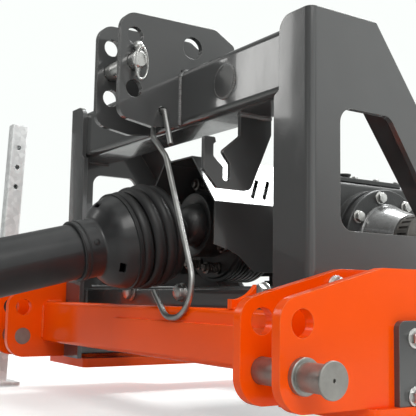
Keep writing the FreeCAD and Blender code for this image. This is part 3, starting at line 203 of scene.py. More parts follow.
class Recipe:
    """Node tree of one finish, with short calls for the few nodes that the finishes share."""

    def __init__(self, name):
        self.material = bpy.data.materials.new(name)
        self.material.use_nodes = True
        self.tree = self.material.node_tree
        self.tree.nodes.clear()
        self.shader = self.add("ShaderNodeBsdfPrincipled")
        output = self.add("ShaderNodeOutputMaterial")
        self.link(self.shader.outputs["BSDF"], output.inputs["Surface"])
        self.place = self.add("ShaderNodeTexCoord").outputs["Object"]

    def add(self, kind):
        return self.tree.nodes.new(kind)

    def link(self, source, target):
        self.tree.links.new(source, target)

    def feed(self, socket, value):
        """Links an output, or sets a plain value."""
        if isinstance(value, bpy.types.NodeSocket):
            self.link(value, socket)
        else:
            socket.default_value = value

    def stretched(self, scale):
        node = self.add("ShaderNodeMapping")
        node.inputs["Scale"].default_value = scale
        self.link(self.place, node.inputs["Vector"])
        return node.outputs["Vector"]

    def noise(self, scale, detail=4.0, roughness=0.55, stretch=None):
        node = self.add("ShaderNodeTexNoise")
        node.inputs["Scale"].default_value = scale
        node.inputs["Detail"].default_value = detail
        node.inputs["Roughness"].default_value = roughness
        self.link(self.stretched(stretch) if stretch else self.place, node.inputs["Vector"])
        return node.outputs["Fac"]

    def cells(self, scale):
        node = self.add("ShaderNodeTexVoronoi")
        node.inputs["Scale"].default_value = scale
        self.link(self.place, node.inputs["Vector"])
        return node.outputs["Color"]

    def span(self, value, low, high, to_low=0.0, to_high=1.0):
        node = self.add("ShaderNodeMapRange")
        self.link(value, node.inputs["Value"])
        node.inputs["From Min"].default_value = low
        node.inputs["From Max"].default_value = high
        node.inputs["To Min"].default_value = to_low
        node.inputs["To Max"].default_value = to_high
        return node.outputs["Result"]

    def maths(self, operation, first, second):
        node = self.add("ShaderNodeMath")
        node.operation = operation
        self.feed(node.inputs[0], first)
        self.feed(node.inputs[1], second)
        return node.outputs["Value"]

    def mix(self, factor, first, second):
        node = self.add("ShaderNodeMix")
        node.data_type = "RGBA"
        self.feed(node.inputs["Factor"], factor)
        self.feed(node.inputs["A"], first)
        self.feed(node.inputs["B"], second)
        return node.outputs["Result"]

    def upward(self):
        """One on faces that look up, nothing on walls and undersides."""
        normal = self.add("ShaderNodeNewGeometry").outputs["Normal"]
        split = self.add("ShaderNodeSeparateXYZ")
        self.link(normal, split.inputs["Vector"])
        return self.span(split.outputs["Z"], 0.35, 0.95)

    def soft_edges(self, radius):
        node = self.add("ShaderNodeBevel")
        node.samples = 4
        node.inputs["Radius"].default_value = radius
        return node.outputs["Normal"]

    def edges(self, soft):
        """Near one along hard edges, where the softened normal leaves the true one."""
        start = 0.0004
        full = 0.06
        normal = self.add("ShaderNodeNewGeometry").outputs["Normal"]
        dot = self.add("ShaderNodeVectorMath")
        dot.operation = "DOT_PRODUCT"
        self.link(soft, dot.inputs[0])
        self.link(normal, dot.inputs[1])
        return self.span(self.maths("SUBTRACT", 1.0, dot.outputs["Value"]), start, full)

    def bump(self, height, strength, distance, normal=None):
        node = self.add("ShaderNodeBump")
        node.inputs["Strength"].default_value = strength
        node.inputs["Distance"].default_value = distance
        self.link(height, node.inputs["Height"])
        if normal is not None:
            self.link(normal, node.inputs["Normal"])
        return node.outputs["Normal"]

    def dusty(self, colour, share):
        """The colour under patchy dust that lies on upward faces, and the dust's own share."""
        on_walls = 0.12
        patches = self.span(self.noise(9.0, detail=6.0, roughness=0.62), 0.38, 0.68)
        specks = self.span(self.noise(210.0, detail=3.0, roughness=0.6), 0.5, 0.72, to_low=0.25)
        amount = self.maths("MULTIPLY", self.maths("MULTIPLY", patches, specks), share)
        lying = self.maths("MULTIPLY", amount, self.maths("ADD", self.upward(), on_walls))
        return self.mix(lying, colour, rgba(settings("finish").dust)), lying

    def finish(self, colour, roughness, normal, **fixed):
        self.feed(self.shader.inputs["Base Color"], colour)
        self.feed(self.shader.inputs["Roughness"], roughness)
        self.link(normal, self.shader.inputs["Normal"])
        for name, value in fixed.items():
            self.shader.inputs[name.replace("_", " ")].default_value = value
        return self.material


def rgba(colour, factor=1.0):
    """A colour with full alpha, made lighter or darker by a factor."""
    return (colour[0] * factor, colour[1] * factor, colour[2] * factor, 1.0)


def gloss_paint(name, colour, edge_wear_and_highlight_tint, wave, coat, specular):
    """Sprayed gloss paint: fine orange peel, long waves in the sheet, thin light edges that are partly worn paint
    and partly a painted highlight, and dust.
    """
    recipe = Recipe(name)
    soft = recipe.soft_edges(0.0018)
    base = recipe.mix(recipe.noise(3.5, detail=3.0), rgba(colour, 0.86), rgba(colour, 1.14))
    patchy = recipe.span(recipe.noise(34.0, detail=5.0), 0.36, 0.62)
    # Edge mask: lightens hard edges towards the edge tint, partly worn paint and partly a painted highlight along
    # the edges.
    worn_and_highlit_edges = recipe.maths("MULTIPLY", recipe.edges(soft), patchy)
    base = recipe.mix(recipe.maths("MULTIPLY", worn_and_highlit_edges, 0.75), base, edge_wear_and_highlight_tint)
    base, dust = recipe.dusty(base, settings("finish").dust_amount)
    streaks = recipe.noise(18.0, detail=8.0, roughness=0.7, stretch=(1.0, 1.0, 0.35))
    scuffs = recipe.span(streaks, 0.44, 0.74, to_low=0.12, to_high=0.28)
    roughness = recipe.maths("ADD", scuffs, recipe.maths("MULTIPLY", dust, 0.9))
    sheet = recipe.noise(5.0, detail=2.0, roughness=0.4)
    waves = recipe.bump(sheet, strength=wave, distance=0.02, normal=soft)
    skin = recipe.noise(330.0, detail=2.0, roughness=0.5)
    peel = recipe.bump(skin, strength=0.05, distance=0.002, normal=waves)
    return recipe.finish(base, roughness, peel, Coat_Weight=coat, Coat_Roughness=0.05,
                         Specular_IOR_Level=specular)


def anthracite_paint(name):
    colour = settings("finish").anthracite
    return gloss_paint(name, colour, edge_wear_and_highlight_tint=(0.24, 0.225, 0.215, 1.0), wave=0.16, coat=0.7,
                       specular=0.45)


def bead_paint_highlit(name):
    """The frame's paint over a bead, made lighter as a painted highlight where its ripples would catch light."""
    # Painted highlight: the bead's colour is the frame's paint made lighter by this gain.
    painted_highlight_gain = 2.1
    colour = [painted_highlight_gain * part for part in settings("finish").anthracite]
    return gloss_paint(name, colour, edge_wear_and_highlight_tint=(0.34, 0.33, 0.32, 1.0), wave=0.10, coat=0.9,
                       specular=0.6)


def orange_paint(name):
    colour = settings("finish").orange
    return gloss_paint(name, colour, edge_wear_and_highlight_tint=(1.0, 0.26, 0.06, 1.0), wave=0.05, coat=0.0,
                       specular=0.22)


def dark_casting(name):
    """Painted casting with the grain of the sand and shallow lumps."""
    recipe = Recipe(name)
    soft = recipe.soft_edges(0.003)
    colour = settings("finish").casting
    base = recipe.mix(recipe.noise(7.0, detail=5.0), rgba(colour, 0.7), rgba(colour, 1.35))
    base, dust = recipe.dusty(base, 0.3)
    satin = recipe.span(recipe.noise(26.0), 0.35, 0.7, to_low=0.30, to_high=0.48)
    roughness = recipe.maths("ADD", satin, dust)
    grain = recipe.noise(260.0, detail=4.0, roughness=0.65)
    sand = recipe.bump(grain, strength=0.35, distance=0.002, normal=soft)
    lumps = recipe.bump(recipe.noise(24.0, detail=2.0), strength=0.18, distance=0.006, normal=sand)
    return recipe.finish(base, roughness, lumps, Coat_Weight=0.15, Coat_Roughness=0.22)


def bare_casting(name):
    """Fine casting under a thin, glossy grey coat."""
    recipe = Recipe(name)
    soft = recipe.soft_edges(0.002)
    colour = settings("finish").bare
    patches = recipe.span(recipe.noise(16.0, detail=7.0, roughness=0.65), 0.3, 0.72)
    base = recipe.mix(patches, rgba(colour, 0.8), rgba(colour, 1.12))
    base, dust = recipe.dusty(base, 0.25)
    satin = recipe.span(recipe.noise(60.0), 0.3, 0.7, to_low=0.18, to_high=0.36)
    roughness = recipe.maths("ADD", satin, dust)
    grain = recipe.noise(320.0, detail=3.0)
    sand = recipe.bump(grain, strength=0.16, distance=0.001, normal=soft)
    return recipe.finish(base, roughness, sand, Metallic=0.35, Coat_Weight=0.6, Coat_Roughness=0.08)


def metal(name, colour, rough, grain, soft_radius, tarnish):
    """Plated or oiled steel with fine grain and blotches of tarnish."""
    recipe = Recipe(name)
    soft = recipe.soft_edges(soft_radius)
    blotches = recipe.span(recipe.noise(30.0, detail=6.0, roughness=0.65), 0.36, 0.7)
    base = recipe.mix(recipe.maths("MULTIPLY", blotches, 0.8), rgba(colour), tarnish)
    roughness = recipe.span(recipe.noise(90.0, detail=4.0), 0.3, 0.7, rough * 0.75, rough * 1.35)
    drawn = recipe.noise(grain, detail=3.0, roughness=0.6, stretch=(0.12, 1.0, 1.0))
    lines = recipe.bump(drawn, strength=0.08, distance=0.001, normal=soft)
    return recipe.finish(base, roughness, lines, Metallic=1.0)


def bright_zinc(name):
    colour = settings("finish").bright
    return metal(name, colour, rough=0.30, grain=600.0, soft_radius=0.0010,
                 tarnish=(0.46, 0.45, 0.43, 1.0))


def zinc_steel(name):
    colour = settings("finish").zinc
    return metal(name, colour, rough=0.38, grain=600.0, soft_radius=0.0012,
                 tarnish=(0.23, 0.225, 0.21, 1.0))


def turned_steel(name):
    """Bare pins: satin, a little grey, with the marks of the lathe round them."""
    recipe = Recipe(name)
    soft = recipe.soft_edges(0.0012)
    colour = settings("finish").turned
    blotches = recipe.span(recipe.noise(26.0, detail=6.0, roughness=0.65), 0.36, 0.72)
    base = recipe.mix(recipe.maths("MULTIPLY", blotches, 0.7), rgba(colour), rgba(colour, 0.6))
    roughness = recipe.span(recipe.noise(70.0, detail=5.0), 0.3, 0.7, to_low=0.34, to_high=0.56)
    lathe = recipe.noise(60.0, detail=3.0, roughness=0.6, stretch=(24.0, 0.4, 0.4))
    marks = recipe.bump(lathe, strength=0.16, distance=0.0008, normal=soft)
    return recipe.finish(base, roughness, marks, Metallic=0.9)


def oiled_steel(name):
    colour = settings("finish").steel
    return metal(name, colour, rough=0.34, grain=420.0, soft_radius=0.0014,
                 tarnish=(0.07, 0.06, 0.052, 1.0))


def galvanised(name):
    """Zinc with the spangle of hot dipping, each crystal a little lighter or darker."""
    dull = (0.74, 0.75, 0.75, 1.0)
    pale = (0.90, 0.91, 0.91, 1.0)
    recipe = Recipe(name)
    soft = recipe.soft_edges(0.0015)
    spangle = recipe.span(recipe.cells(95.0), 0.1, 0.9)
    base = recipe.mix(spangle, dull, pale)
    base, dust = recipe.dusty(base, 0.15)
    satin = recipe.span(spangle, 0.0, 1.0, to_low=0.30, to_high=0.46)
    roughness = recipe.maths("ADD", satin, dust)
    grain = recipe.bump(recipe.noise(180.0), strength=0.06, distance=0.001, normal=soft)
    return recipe.finish(base, roughness, grain, Metallic=0.3)


def guard_plastic(name):
    """Moulded black plastic, a little glossy, with faint rubbed patches."""
    recipe = Recipe(name)
    soft = recipe.soft_edges(0.0012)
    colour = settings("finish").plastic
    rubbed = recipe.span(recipe.noise(14.0, detail=5.0), 0.4, 0.75)
    base = recipe.mix(rubbed, rgba(colour), rgba(colour, 1.9))
    base, dust = recipe.dusty(base, 0.05)
    satin = recipe.span(recipe.noise(22.0, detail=6.0), 0.35, 0.7, to_low=0.30, to_high=0.46)
    roughness = recipe.maths("ADD", satin, dust)
    grain = recipe.noise(420.0, detail=2.0)
    skin = recipe.bump(grain, strength=0.10, distance=0.001, normal=soft)
    return recipe.finish(base, roughness, skin, Specular_IOR_Level=0.4, Coat_Weight=0.25,
                         Coat_Roughness=0.16)


def guard_rubber(name):
    """Moulded rubber, duller than the plastic beside it."""
    dark = (0.011, 0.011, 0.012, 1.0)
    pale = (0.025, 0.025, 0.026, 1.0)
    recipe = Recipe(name)
    soft = recipe.soft_edges(0.002)
    base = recipe.mix(recipe.noise(11.0, detail=5.0), dark, pale)
    base, dust = recipe.dusty(base, 0.08)
    satin = recipe.span(recipe.noise(35.0, detail=5.0), 0.35, 0.7, to_low=0.36, to_high=0.52)
    roughness = recipe.maths("ADD", satin, dust)
    grain = recipe.noise(520.0, detail=3.0)
    skin = recipe.bump(grain, strength=0.16, distance=0.001, normal=soft)
    return recipe.finish(base, roughness, skin, Specular_IOR_Level=0.35)


def bearing_plastic(name):
    """Off-white plastic of the guard's bearing rings."""
    dark = (0.60, 0.57, 0.47, 1.0)
    pale = (0.70, 0.67, 0.58, 1.0)
    recipe = Recipe(name)
    soft = recipe.soft_edges(0.001)
    base = recipe.mix(recipe.noise(20.0), dark, pale)
    skin = recipe.bump(recipe.noise(300.0), strength=0.05, distance=0.001, normal=soft)
    satin = recipe.span(recipe.noise(40.0), 0.3, 0.7, to_low=0.35, to_high=0.5)
    return recipe.finish(base, satin, skin)


# Finishes by material slot, and two more that single pieces and nodes name
FINISHES = {
    "anthracite_paint": anthracite_paint, "orange_paint": orange_paint, "dark_casting": dark_casting,
    "bare_casting": bare_casting, "zinc_steel": zinc_steel, "turned_steel": turned_steel,
    "oiled_steel": oiled_steel, "galvanised": galvanised, "guard_plastic": guard_plastic,
    "guard_rubber": guard_rubber, "bearing_plastic": bearing_plastic, "bead_paint_highlit": bead_paint_highlit,
    "bright_zinc": bright_zinc,
}

# Nodes whose finish isn't their slot's
NODE_FINISHES = {"top_link_pin": "bright_zinc"}
made_finishes = {}


def material(slot):
    """The finish of a material slot, made once."""
    if slot not in made_finishes:
        made_finishes[slot] = FINISHES[slot](slot + "_finish")
    return made_finishes[slot]


# Shapes that several pieces share

def piece(name, mesh, body, slot, smooth_angle=35.0, finish=None):
    """Turns a bmesh into an object that rides on a body, in its slot's finish or a named one."""
    bmesh.ops.recalc_face_normals(mesh, faces=mesh.faces)
    data = bpy.data.meshes.new(name)
    mesh.to_mesh(data)
    mesh.free()
    data.materials.append(material(finish or slot))
    data.shade_smooth()
    data.set_sharp_from_angle(angle=math.radians(smooth_angle))
    made = bpy.data.objects.new(name, data)
    bpy.context.scene.collection.objects.link(made)
    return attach(made, body)


def standing(point, way):
    """Matrix that stands a shape's own Z along a direction, at a point."""
    return Matrix.Translation(point) @ Vector(way).to_track_quat("Z", "Y").to_matrix().to_4x4()


def drum(mesh, place, radius, low, high, segments=32, bevel=0.0):
    """A cylinder between two heights of a placed axis, with its rims rounded."""
    middle = place @ Matrix.Translation((0, 0, (low + high) / 2))
    made = bmesh.ops.create_cone(mesh, cap_ends=True, segments=segments, radius1=radius, radius2=radius,
                                 depth=high - low, matrix=middle)["verts"]
    if bevel:
        rims = {e for v in made for e in v.link_edges if any(len(f.verts) == segments for f in e.link_faces)}
        bmesh.ops.bevel(mesh, geom=list(rims), offset=bevel, affect="EDGES", segments=2, profile=0.5,
                        material=-1)
    return made


def hex_bolt(mesh, point, way, size, washer=True):
    """Hexagon head on a washer; the point is on the seat and the way leads out of it."""
    place = standing(point, way)
    seat = 0.17 * size if washer else 0.0
    corners = 0.87 * size
    height = 0.62 * size
    chamfer = 0.74 * size
    if washer:
        drum(mesh, place, 1.02 * size, 0.0, seat, bevel=0.04 * size)
    head = drum(mesh, place, corners, seat, seat + height, segments=6)
    edges = {e for v in head for e in v.link_edges}
    bmesh.ops.bevel(mesh, geom=list(edges), offset=0.035 * size, affect="EDGES", segments=2, profile=0.5,
                    material=-1)
    drum(mesh, place, chamfer, seat + 0.6 * size, seat + 0.68 * size, bevel=0.03 * size)


def nut_end(mesh, point, way, size):
    """Hexagon nut on a washer with the end of its bolt."""
    hex_bolt(mesh, point, way, size)
    drum(mesh, standing(point, way), 0.46 * size, 0.6 * size, 1.05 * size, bevel=0.05 * size)


def bead(mesh, start, end, radius=None):
    """A weld bead: flattened ripples that overlap along a line."""
    weld = settings("weld")
    radius = radius or weld.radius
    start = Vector(start)
    run = Vector(end) - start
    count = max(2, round(run.length / weld.pitch))
    turn = run.to_track_quat("X", "Z").to_matrix().to_4x4()
    flat = Matrix.Diagonal((0.62, 1.0, 1.0, 1.0))
    wander = random.Random(round(start.length * 1e4) + count)
    for i in range(count + 1):
        place = Matrix.Translation(start + run * (i / count)) @ turn @ flat
        size = radius * wander.uniform(0.9, 1.12)
        bmesh.ops.create_icosphere(mesh, subdivisions=1, radius=size, matrix=place)


def loop_bead(mesh, corners, radius):
    """A bead round a closed run of corners."""
    for i, corner in enumerate(corners):
        bead(mesh, corner, corners[(i + 1) % len(corners)], radius)


def turned_ring(mesh, centre, way, profile, steps=72):
    """A closed (along, radius) profile spun round an axis."""
    way = Vector(way).normalized()
    side = way.orthogonal().normalized()
    verts = [mesh.verts.new(centre + way * along + side * radius) for along, radius in profile]
    edges = [mesh.edges.new((verts[i], verts[(i + 1) % len(verts)])) for i in range(len(verts))]
    bmesh.ops.spin(mesh, geom=verts + edges, cent=centre, axis=way, angle=math.tau, steps=steps,
                   use_merge=True)


def ring_profile(start, end, inner, outer, round_off):
    """A rectangle with its two outer corners cut, for a turned band."""
    return [(start, inner), (start, outer - round_off), (start + round_off, outer), (end - round_off, outer),
            (end, outer - round_off), (end, inner)]


# Pieces

def paint_nodes():
    """Gives each node of the frame the finish of its material slot, or its own."""
    for entry in frame["record"]["subparts"]:
        node = entry["node"]
        for slot in frame["nodes"][node].material_slots:
            slot.material = material(NODE_FINISHES.get(node, entry["material_slot"]))


def frame_welds():
    """Beads where the dark plates and beams of the frame meet."""
    mesh = bmesh.new()
    beam_low, beam_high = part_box("cross_beam")
    bar_low, bar_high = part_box("main_bar")
    rear_low, rear_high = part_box("rear_bar")
    front = beam_high.y - BEAM_DEPTH
    corner = TUBE_CORNER
    lap = 1 * MM
    thick = 6.5 * MM
    for side in SIDES:
        low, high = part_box("top_link_plate_" + side)
        for x in (low.x, high.x):
            bead(mesh, (x, front, beam_low.z + 4 * MM), (x, front, beam_high.z - corner))
            bead(mesh, (x, front + lap, beam_high.z - corner), (x, front + corner, beam_high.z - lap), thick)
            bead(mesh, (x, front + corner, beam_high.z), (x, beam_high.y - 6 * MM, beam_high.z))
    for x in (beam_low.x, beam_high.x):
        for y0, y1, z0, z1 in ((front, beam_high.y, beam_low.z, beam_high.z),
                               (bar_low.y, bar_high.y, bar_low.z, bar_high.z)):
            bead(mesh, (x, y0, z0 + corner), (x, y0, z1 - corner))
            bead(mesh, (x, y1, z0 + corner), (x, y1, z1 - corner))
            bead(mesh, (x, y0 + corner, z1), (x, y1 - corner, z1))
            bead(mesh, (x, y0 + corner, z0), (x, y1 - corner, z0))
        bead(mesh, (x, rear_low.y + corner, rear_high.z), (x, rear_low.y + 34 * MM, rear_high.z))
    low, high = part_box("notched_plate")
    seam = 66 * MM
    for x in (low.x, high.x):
        bead(mesh, (x, high.y - seam, high.z), (x, high.y - 3 * MM, high.z))
    for side in SIDES:
        low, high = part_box("gearbox_rail_" + side)
        for x in (low.x, high.x):
            bead(mesh, (x, low.y, low.z + 4 * MM), (x, low.y, high.z - 5 * MM))
    boss = Vector((BOSS_X, front, (beam_low.z + beam_high.z) / 2))
    steps = 24
    angles = [math.tau * k / steps for k in range(steps)]
    ring = [boss + Vector((math.cos(a), 0, math.sin(a))) * BOSS_RADIUS for a in angles]
    thin = 3.4 * MM
    loop_bead(mesh, ring, thin)
    # The beads take the lightened bead finish, a painted highlight.
    piece("frame_welds", mesh, ROOT, "anthracite_paint", 60.0, "bead_paint_highlit")


def bar_caps():
    """Plates that close the ends of the rear bar, which stand out past the slanted edge of the frame."""
    mesh = bmesh.new()
    low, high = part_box("rear_bar")
    wall = 8 * MM
    inset = 3 * MM
    thick = 3 * MM
    corner = 5 * MM
    size = Vector((thick, high.y - low.y - 2 * wall, high.z - low.z - 2 * wall))
    for x in (low.x + inset, high.x - inset):
        place = Matrix.Translation((x, (low.y + high.y) / 2, (low.z + high.z) / 2))
        cap = bmesh.ops.create_cube(mesh, size=1.0, matrix=place @ Matrix.Diagonal((*size, 1.0)))["verts"]
        along = {e for v in cap for e in v.link_edges if abs(e.verts[0].co.x - e.verts[1].co.x) > MM}
        bmesh.ops.bevel(mesh, geom=list(along), offset=corner, affect="EDGES", segments=4, profile=0.5,
                        material=-1)
    piece("bar_caps", mesh, ROOT, "anthracite_paint")


def hitch_welds():
    """Beads on the orange front bar, its doubler and gusset, the webs and the feet."""
    mesh = bmesh.new()
    bar_low, bar_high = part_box("front_bar")
    top_front = bar_high.y - FRONT_BAR_DEPTH
    corner = 10 * MM
    web = 10 * MM
    low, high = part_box("saddle_gusset_left")
    for x in (low.x, high.x):
        bead(mesh, (x, top_front + 6 * MM, bar_high.z), (x, bar_high.y - 6 * MM, bar_high.z), 3.2 * MM)
    for side, sign in SIDE_SIGNS:
        low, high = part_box("hitch_plate_inner_" + side)
        face = sign * min(abs(low.x), abs(high.x))
        inner = face - sign * 0.5 * MM
        bead(mesh, (inner, top_front + corner, bar_high.z), (inner, bar_high.y - 8 * MM, bar_high.z))
        bead(mesh, (inner, top_front, bar_low.z + corner), (inner, top_front, bar_high.z - corner))
        foot_low, foot_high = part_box("foot_" + side)
        frame_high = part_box("side_frame_" + side)[1]
        wall = face - sign * web
        bead(mesh, (wall, foot_low.y + 4 * MM, foot_high.z), (wall, frame_high.y - 8 * MM, foot_high.z))
    seam_y = bar_low.y + DOUBLER_FACE
    seam_z = bar_low.z + DOUBLER_TOP
    bead(mesh, (bar_low.x + DOUBLER_START, seam_y, seam_z), (bar_high.x - 4 * MM, seam_y, seam_z), 2.4 * MM)
    piece("hitch_welds", mesh, ROOT, "orange_paint", 60.0)


def plate_bolts():
    """Clamp plate bolts with their nuts, the bolt of each inner plate and the bolt heads in the main bar."""
    fasteners = settings("fastener")
    size = fasteners.plate_bolt
    through = 26 * MM
    inset = 30 * MM
    below_top = 12 * MM
    mesh = bmesh.new()
    for side, sign in SIDE_SIGNS:
        low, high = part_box("clamp_plate_" + side)
        face = sign * max(abs(low.x), abs(high.x))
        back = face - sign * through
        for z in (high.z - 24 * MM, low.z + 13 * MM):
            hex_bolt(mesh, (face, low.y + inset, z), (sign, 0, 0), size)
            nut_end(mesh, (back, low.y + inset, z), (-sign, 0, 0), size)
        plate_low, plate_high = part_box("hitch_plate_inner_" + side)
        face = sign * max(abs(plate_low.x), abs(plate_high.x))
        hex_bolt(mesh, (face, low.y - inset, plate_high.z - 25 * MM), (sign, 0, 0), size * 1.15)
    bar_low, bar_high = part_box("main_bar")
    for x in BAR_BOLT_X:
        hex_bolt(mesh, (x, bar_low.y, bar_high.z - below_top), -Y_WAY, fasteners.bar_bolt)
    piece("plate_bolts", mesh, ROOT, "zinc_steel", finish="bright_zinc")


def gearbox_bolts():
    """Bolts of the side flange, blind cover, lid, foot and shield, and the plug in the lid."""
    fasteners = settings("fastener")
    mesh = bmesh.new()
    flange_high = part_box("side_flange")[1]
    cover_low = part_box("blind_cover")[0]
    first_angle = 57
    for i in range(fasteners.flange_bolts):
        angle = math.radians(first_angle + 360 / fasteners.flange_bolts * i)
        spot = OUTPUT_CENTRE + Vector((0, math.cos(angle), math.sin(angle))) * fasteners.flange_circle
        hex_bolt(mesh, (flange_high.x, spot.y, spot.z), X_WAY, fasteners.flange_bolt)
        hex_bolt(mesh, (cover_low.x + COVER_STEP, spot.y, spot.z), -X_WAY, fasteners.flange_bolt)
    lid_low, lid_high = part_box("gearbox_lid")
    inset = 11 * MM
    rows = 4
    for x in (lid_low.x + inset, lid_high.x - inset):
        for row in range(rows):
            y = lid_low.y + inset + (lid_high.y - lid_low.y - 2 * inset) * row / (rows - 1)
            hex_bolt(mesh, (x, y, lid_high.z), Z_WAY, fasteners.case_bolt * 0.8, washer=False)
    case_low, case_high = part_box("gearbox_housing")
    for y in (case_low.y + 26 * MM, case_high.y - 30 * MM):
        for x in (case_low.x + 16 * MM, case_high.x - 16 * MM):
            hex_bolt(mesh, (x, y, case_low.z + GEARBOX_FOOT), Z_WAY, fasteners.case_bolt * 1.2)
    shield_low, shield_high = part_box("drive_shield")
    for x, way in ((shield_low.x, -X_WAY), (shield_high.x, X_WAY)):
        for rise in (115 * MM, 12 * MM):
            spot = (x, shield_high.y - 11 * MM, shield_low.z + rise)
            hex_bolt(mesh, spot, way, fasteners.case_bolt)
    plug = standing(((lid_low.x + lid_high.x) / 2 - 30 * MM, lid_high.y - 20 * MM, lid_high.z), Z_WAY)
    collar = 4 * MM
    drum(mesh, plug, 11 * MM, 0.0, collar, segments=28, bevel=0.8 * MM)
    drum(mesh, plug, 7 * MM, collar, 10 * MM, segments=6)
    piece("gearbox_bolts", mesh, ROOT, "zinc_steel", finish="bright_zinc")


def coil_spring(mesh, place, radius, wire, start, rise, turns):
    """Round wire wound about a placed axis, in short straight lengths that overlap."""
    steps = 16 * turns
    angles = [math.tau * turns * k / steps for k in range(steps + 1)]
    pitch = rise / angles[-1]
    coil = [place @ Vector((radius * math.cos(a), radius * math.sin(a), start + pitch * a)) for a in angles]
    for first, second in zip(coil, coil[1:]):
        run = second - first
        reach = run.length * 0.56
        drum(mesh, standing((first + second) / 2, run), wire, -reach, reach, segments=6)


def clutch_bolts():
    """Spring bolts round the front plate of the clutch, with a cup at each end of the spring."""
    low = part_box("clutch_pack")[0]
    mesh = bmesh.new()
    axis = Vector((0, low.y, SHAFT_CENTRE.z))
    count = 8
    circle = 86 * MM
    cup_radius = 12 * MM
    cup = 5 * MM
    spring_end = 27 * MM
    top = 30 * MM
    for i in range(count):
        angle = math.tau * (i + 0.3) / count
        out = Vector((math.cos(angle), 0, math.sin(angle)))
        place = standing(axis + out * circle, -Y_WAY)
        drum(mesh, place, cup_radius, 0.0, cup, segments=24, bevel=0.8 * MM)
        coil_spring(mesh, place, 9 * MM, 1.6 * MM, cup, spring_end - cup, turns=4)
        drum(mesh, place, cup_radius, spring_end, top, segments=24, bevel=0.5 * MM)
        hex_bolt(mesh, place @ Vector((0, 0, top)), -Y_WAY, 9 * MM, washer=False)
    piece("clutch_bolts", mesh, "input", "oiled_steel")


def guard_trim():
    """Thin ring at the end of the rear guard's collar, a rib beside it and three small screws."""
    mesh = bmesh.new()
    ring = ring_profile(261.5 * MM, 266 * MM, inner=49.6 * MM, outer=54.5 * MM, round_off=1.4 * MM)
    rib = ring_profile(252 * MM, 255.5 * MM, inner=52.5 * MM, outer=54.2 * MM, round_off=0.6 * MM)
    turned_ring(mesh, SHAFT_CENTRE, SHAFT_WAY, ring)
    turned_ring(mesh, SHAFT_CENTRE, SHAFT_WAY, rib)
    side = SHAFT_WAY.orthogonal().normalized()
    screws_at = 240 * MM
    skin = 52.5 * MM
    head = 2.0 * MM
    first_angle = 25
    for i in range(3):
        way = Matrix.Rotation(math.radians(first_angle + 120 * i), 3, SHAFT_WAY) @ side
        place = standing(SHAFT_CENTRE + SHAFT_WAY * screws_at + way * skin, way)
        drum(mesh, place, 5.5 * MM, 0.0, head, segments=24, bevel=0.5 * MM)
        drum(mesh, place, 3.0 * MM, head, 3.0 * MM, segments=16, bevel=0.3 * MM)
    piece("guard_trim", mesh, "rear_guard", "guard_rubber")


def linch_pin():
    """Peg with a domed head, and the flat oval spring ring that snaps over the end of the top link pin."""
    low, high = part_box("linch_pin")
    wire = 2.4 * MM
    loop = 27 * MM
    head_radius = 9.5 * MM
    ring_x = high.x - 2.2 * MM
    peg_x = ring_x - 15 * MM
    centre = Vector((ring_x, (low.y + high.y) / 2, high.z - 30 * MM))
    hang = centre - Z_WAY * 13 * MM
    mesh = bmesh.new()
    peg = standing((peg_x, centre.y, low.z), Z_WAY)
    drum(mesh, peg, 4.9 * MM, 0.0, high.z - low.z - 12 * MM, bevel=1.2 * MM)
    head = Matrix.Translation((peg_x, centre.y, centre.z + 24 * MM)) @ Matrix.Diagonal((1, 1, 0.85, 1))
    bmesh.ops.create_uvsphere(mesh, u_segments=32, v_segments=16, radius=head_radius, matrix=head)
    ear = standing((peg_x, centre.y, hang.z + 30 * MM), X_WAY)
    drum(mesh, ear, 3.2 * MM, 0.0, 19 * MM, segments=20, bevel=0.8 * MM)
    steps = 12
    around = [math.tau * k / steps for k in range(steps)]
    ring = bmesh.new()
    turned_ring(ring, Vector(), X_WAY, [(wire * math.cos(a), loop + wire * math.sin(a)) for a in around])
    oval = Matrix.Translation(hang) @ Matrix.Diagonal((1, 0.46, 1.1, 1))
    bmesh.ops.transform(ring, matrix=oval, verts=ring.verts)
    joined = bpy.data.meshes.new("ring")
    ring.to_mesh(joined)
    ring.free()
    mesh.from_mesh(joined)
    bpy.data.meshes.remove(joined)
    made = piece("linch_ring", mesh, ROOT, "zinc_steel", 50.0, "bright_zinc")
    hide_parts("linch_pin")


def grease_nipples():
    """Small nipple on the cross of the tractor's joint."""
    mesh = bmesh.new()
    place = standing(CROSS_CENTRE, (0.3, -0.4, 1))
    seat = 17 * MM
    hexagon = 22 * MM
    tip = 29 * MM
    drum(mesh, place, 4.5 * MM, seat, hexagon, segments=6)
    drum(mesh, place, 2.6 * MM, hexagon, tip, segments=16, bevel=0.6 * MM)
    piece("cross_nipple", mesh, "cross", "zinc_steel")


# Stage

def look_matrix(stage):
    """Camera matrix from its place, yaw, pitch and roll."""
    level = Vector((-math.cos(stage.yaw), math.sin(stage.yaw), 0))
    across = Vector((math.sin(stage.yaw), math.cos(stage.yaw), 0))
    ahead = level * math.cos(stage.pitch) + Z_WAY * math.sin(stage.pitch)
    above = Z_WAY * math.cos(stage.pitch) - level * math.sin(stage.pitch)
    right = across * math.cos(stage.roll) + above * math.sin(stage.roll)
    up = above * math.cos(stage.roll) - across * math.sin(stage.roll)
    turn = Matrix((right, up, -ahead)).transposed().to_4x4()
    return Matrix.Translation(stage.eye) @ turn


def area_light(name, power, place, target, size, colour):
    """A rectangular lamp at a place, turned to a target."""
    data = bpy.data.lights.new(name, "AREA")
    data.shape = "RECTANGLE"
    data.size, data.size_y = size
    data.energy = power
    data.color = colour
    lamp = bpy.data.objects.new(name, data)
    bpy.context.scene.collection.objects.link(lamp)
    way = Vector(target) - Vector(place)
    lamp.matrix_world = Matrix.Translation(place) @ way.to_track_quat("-Z", "Y").to_matrix().to_4x4()


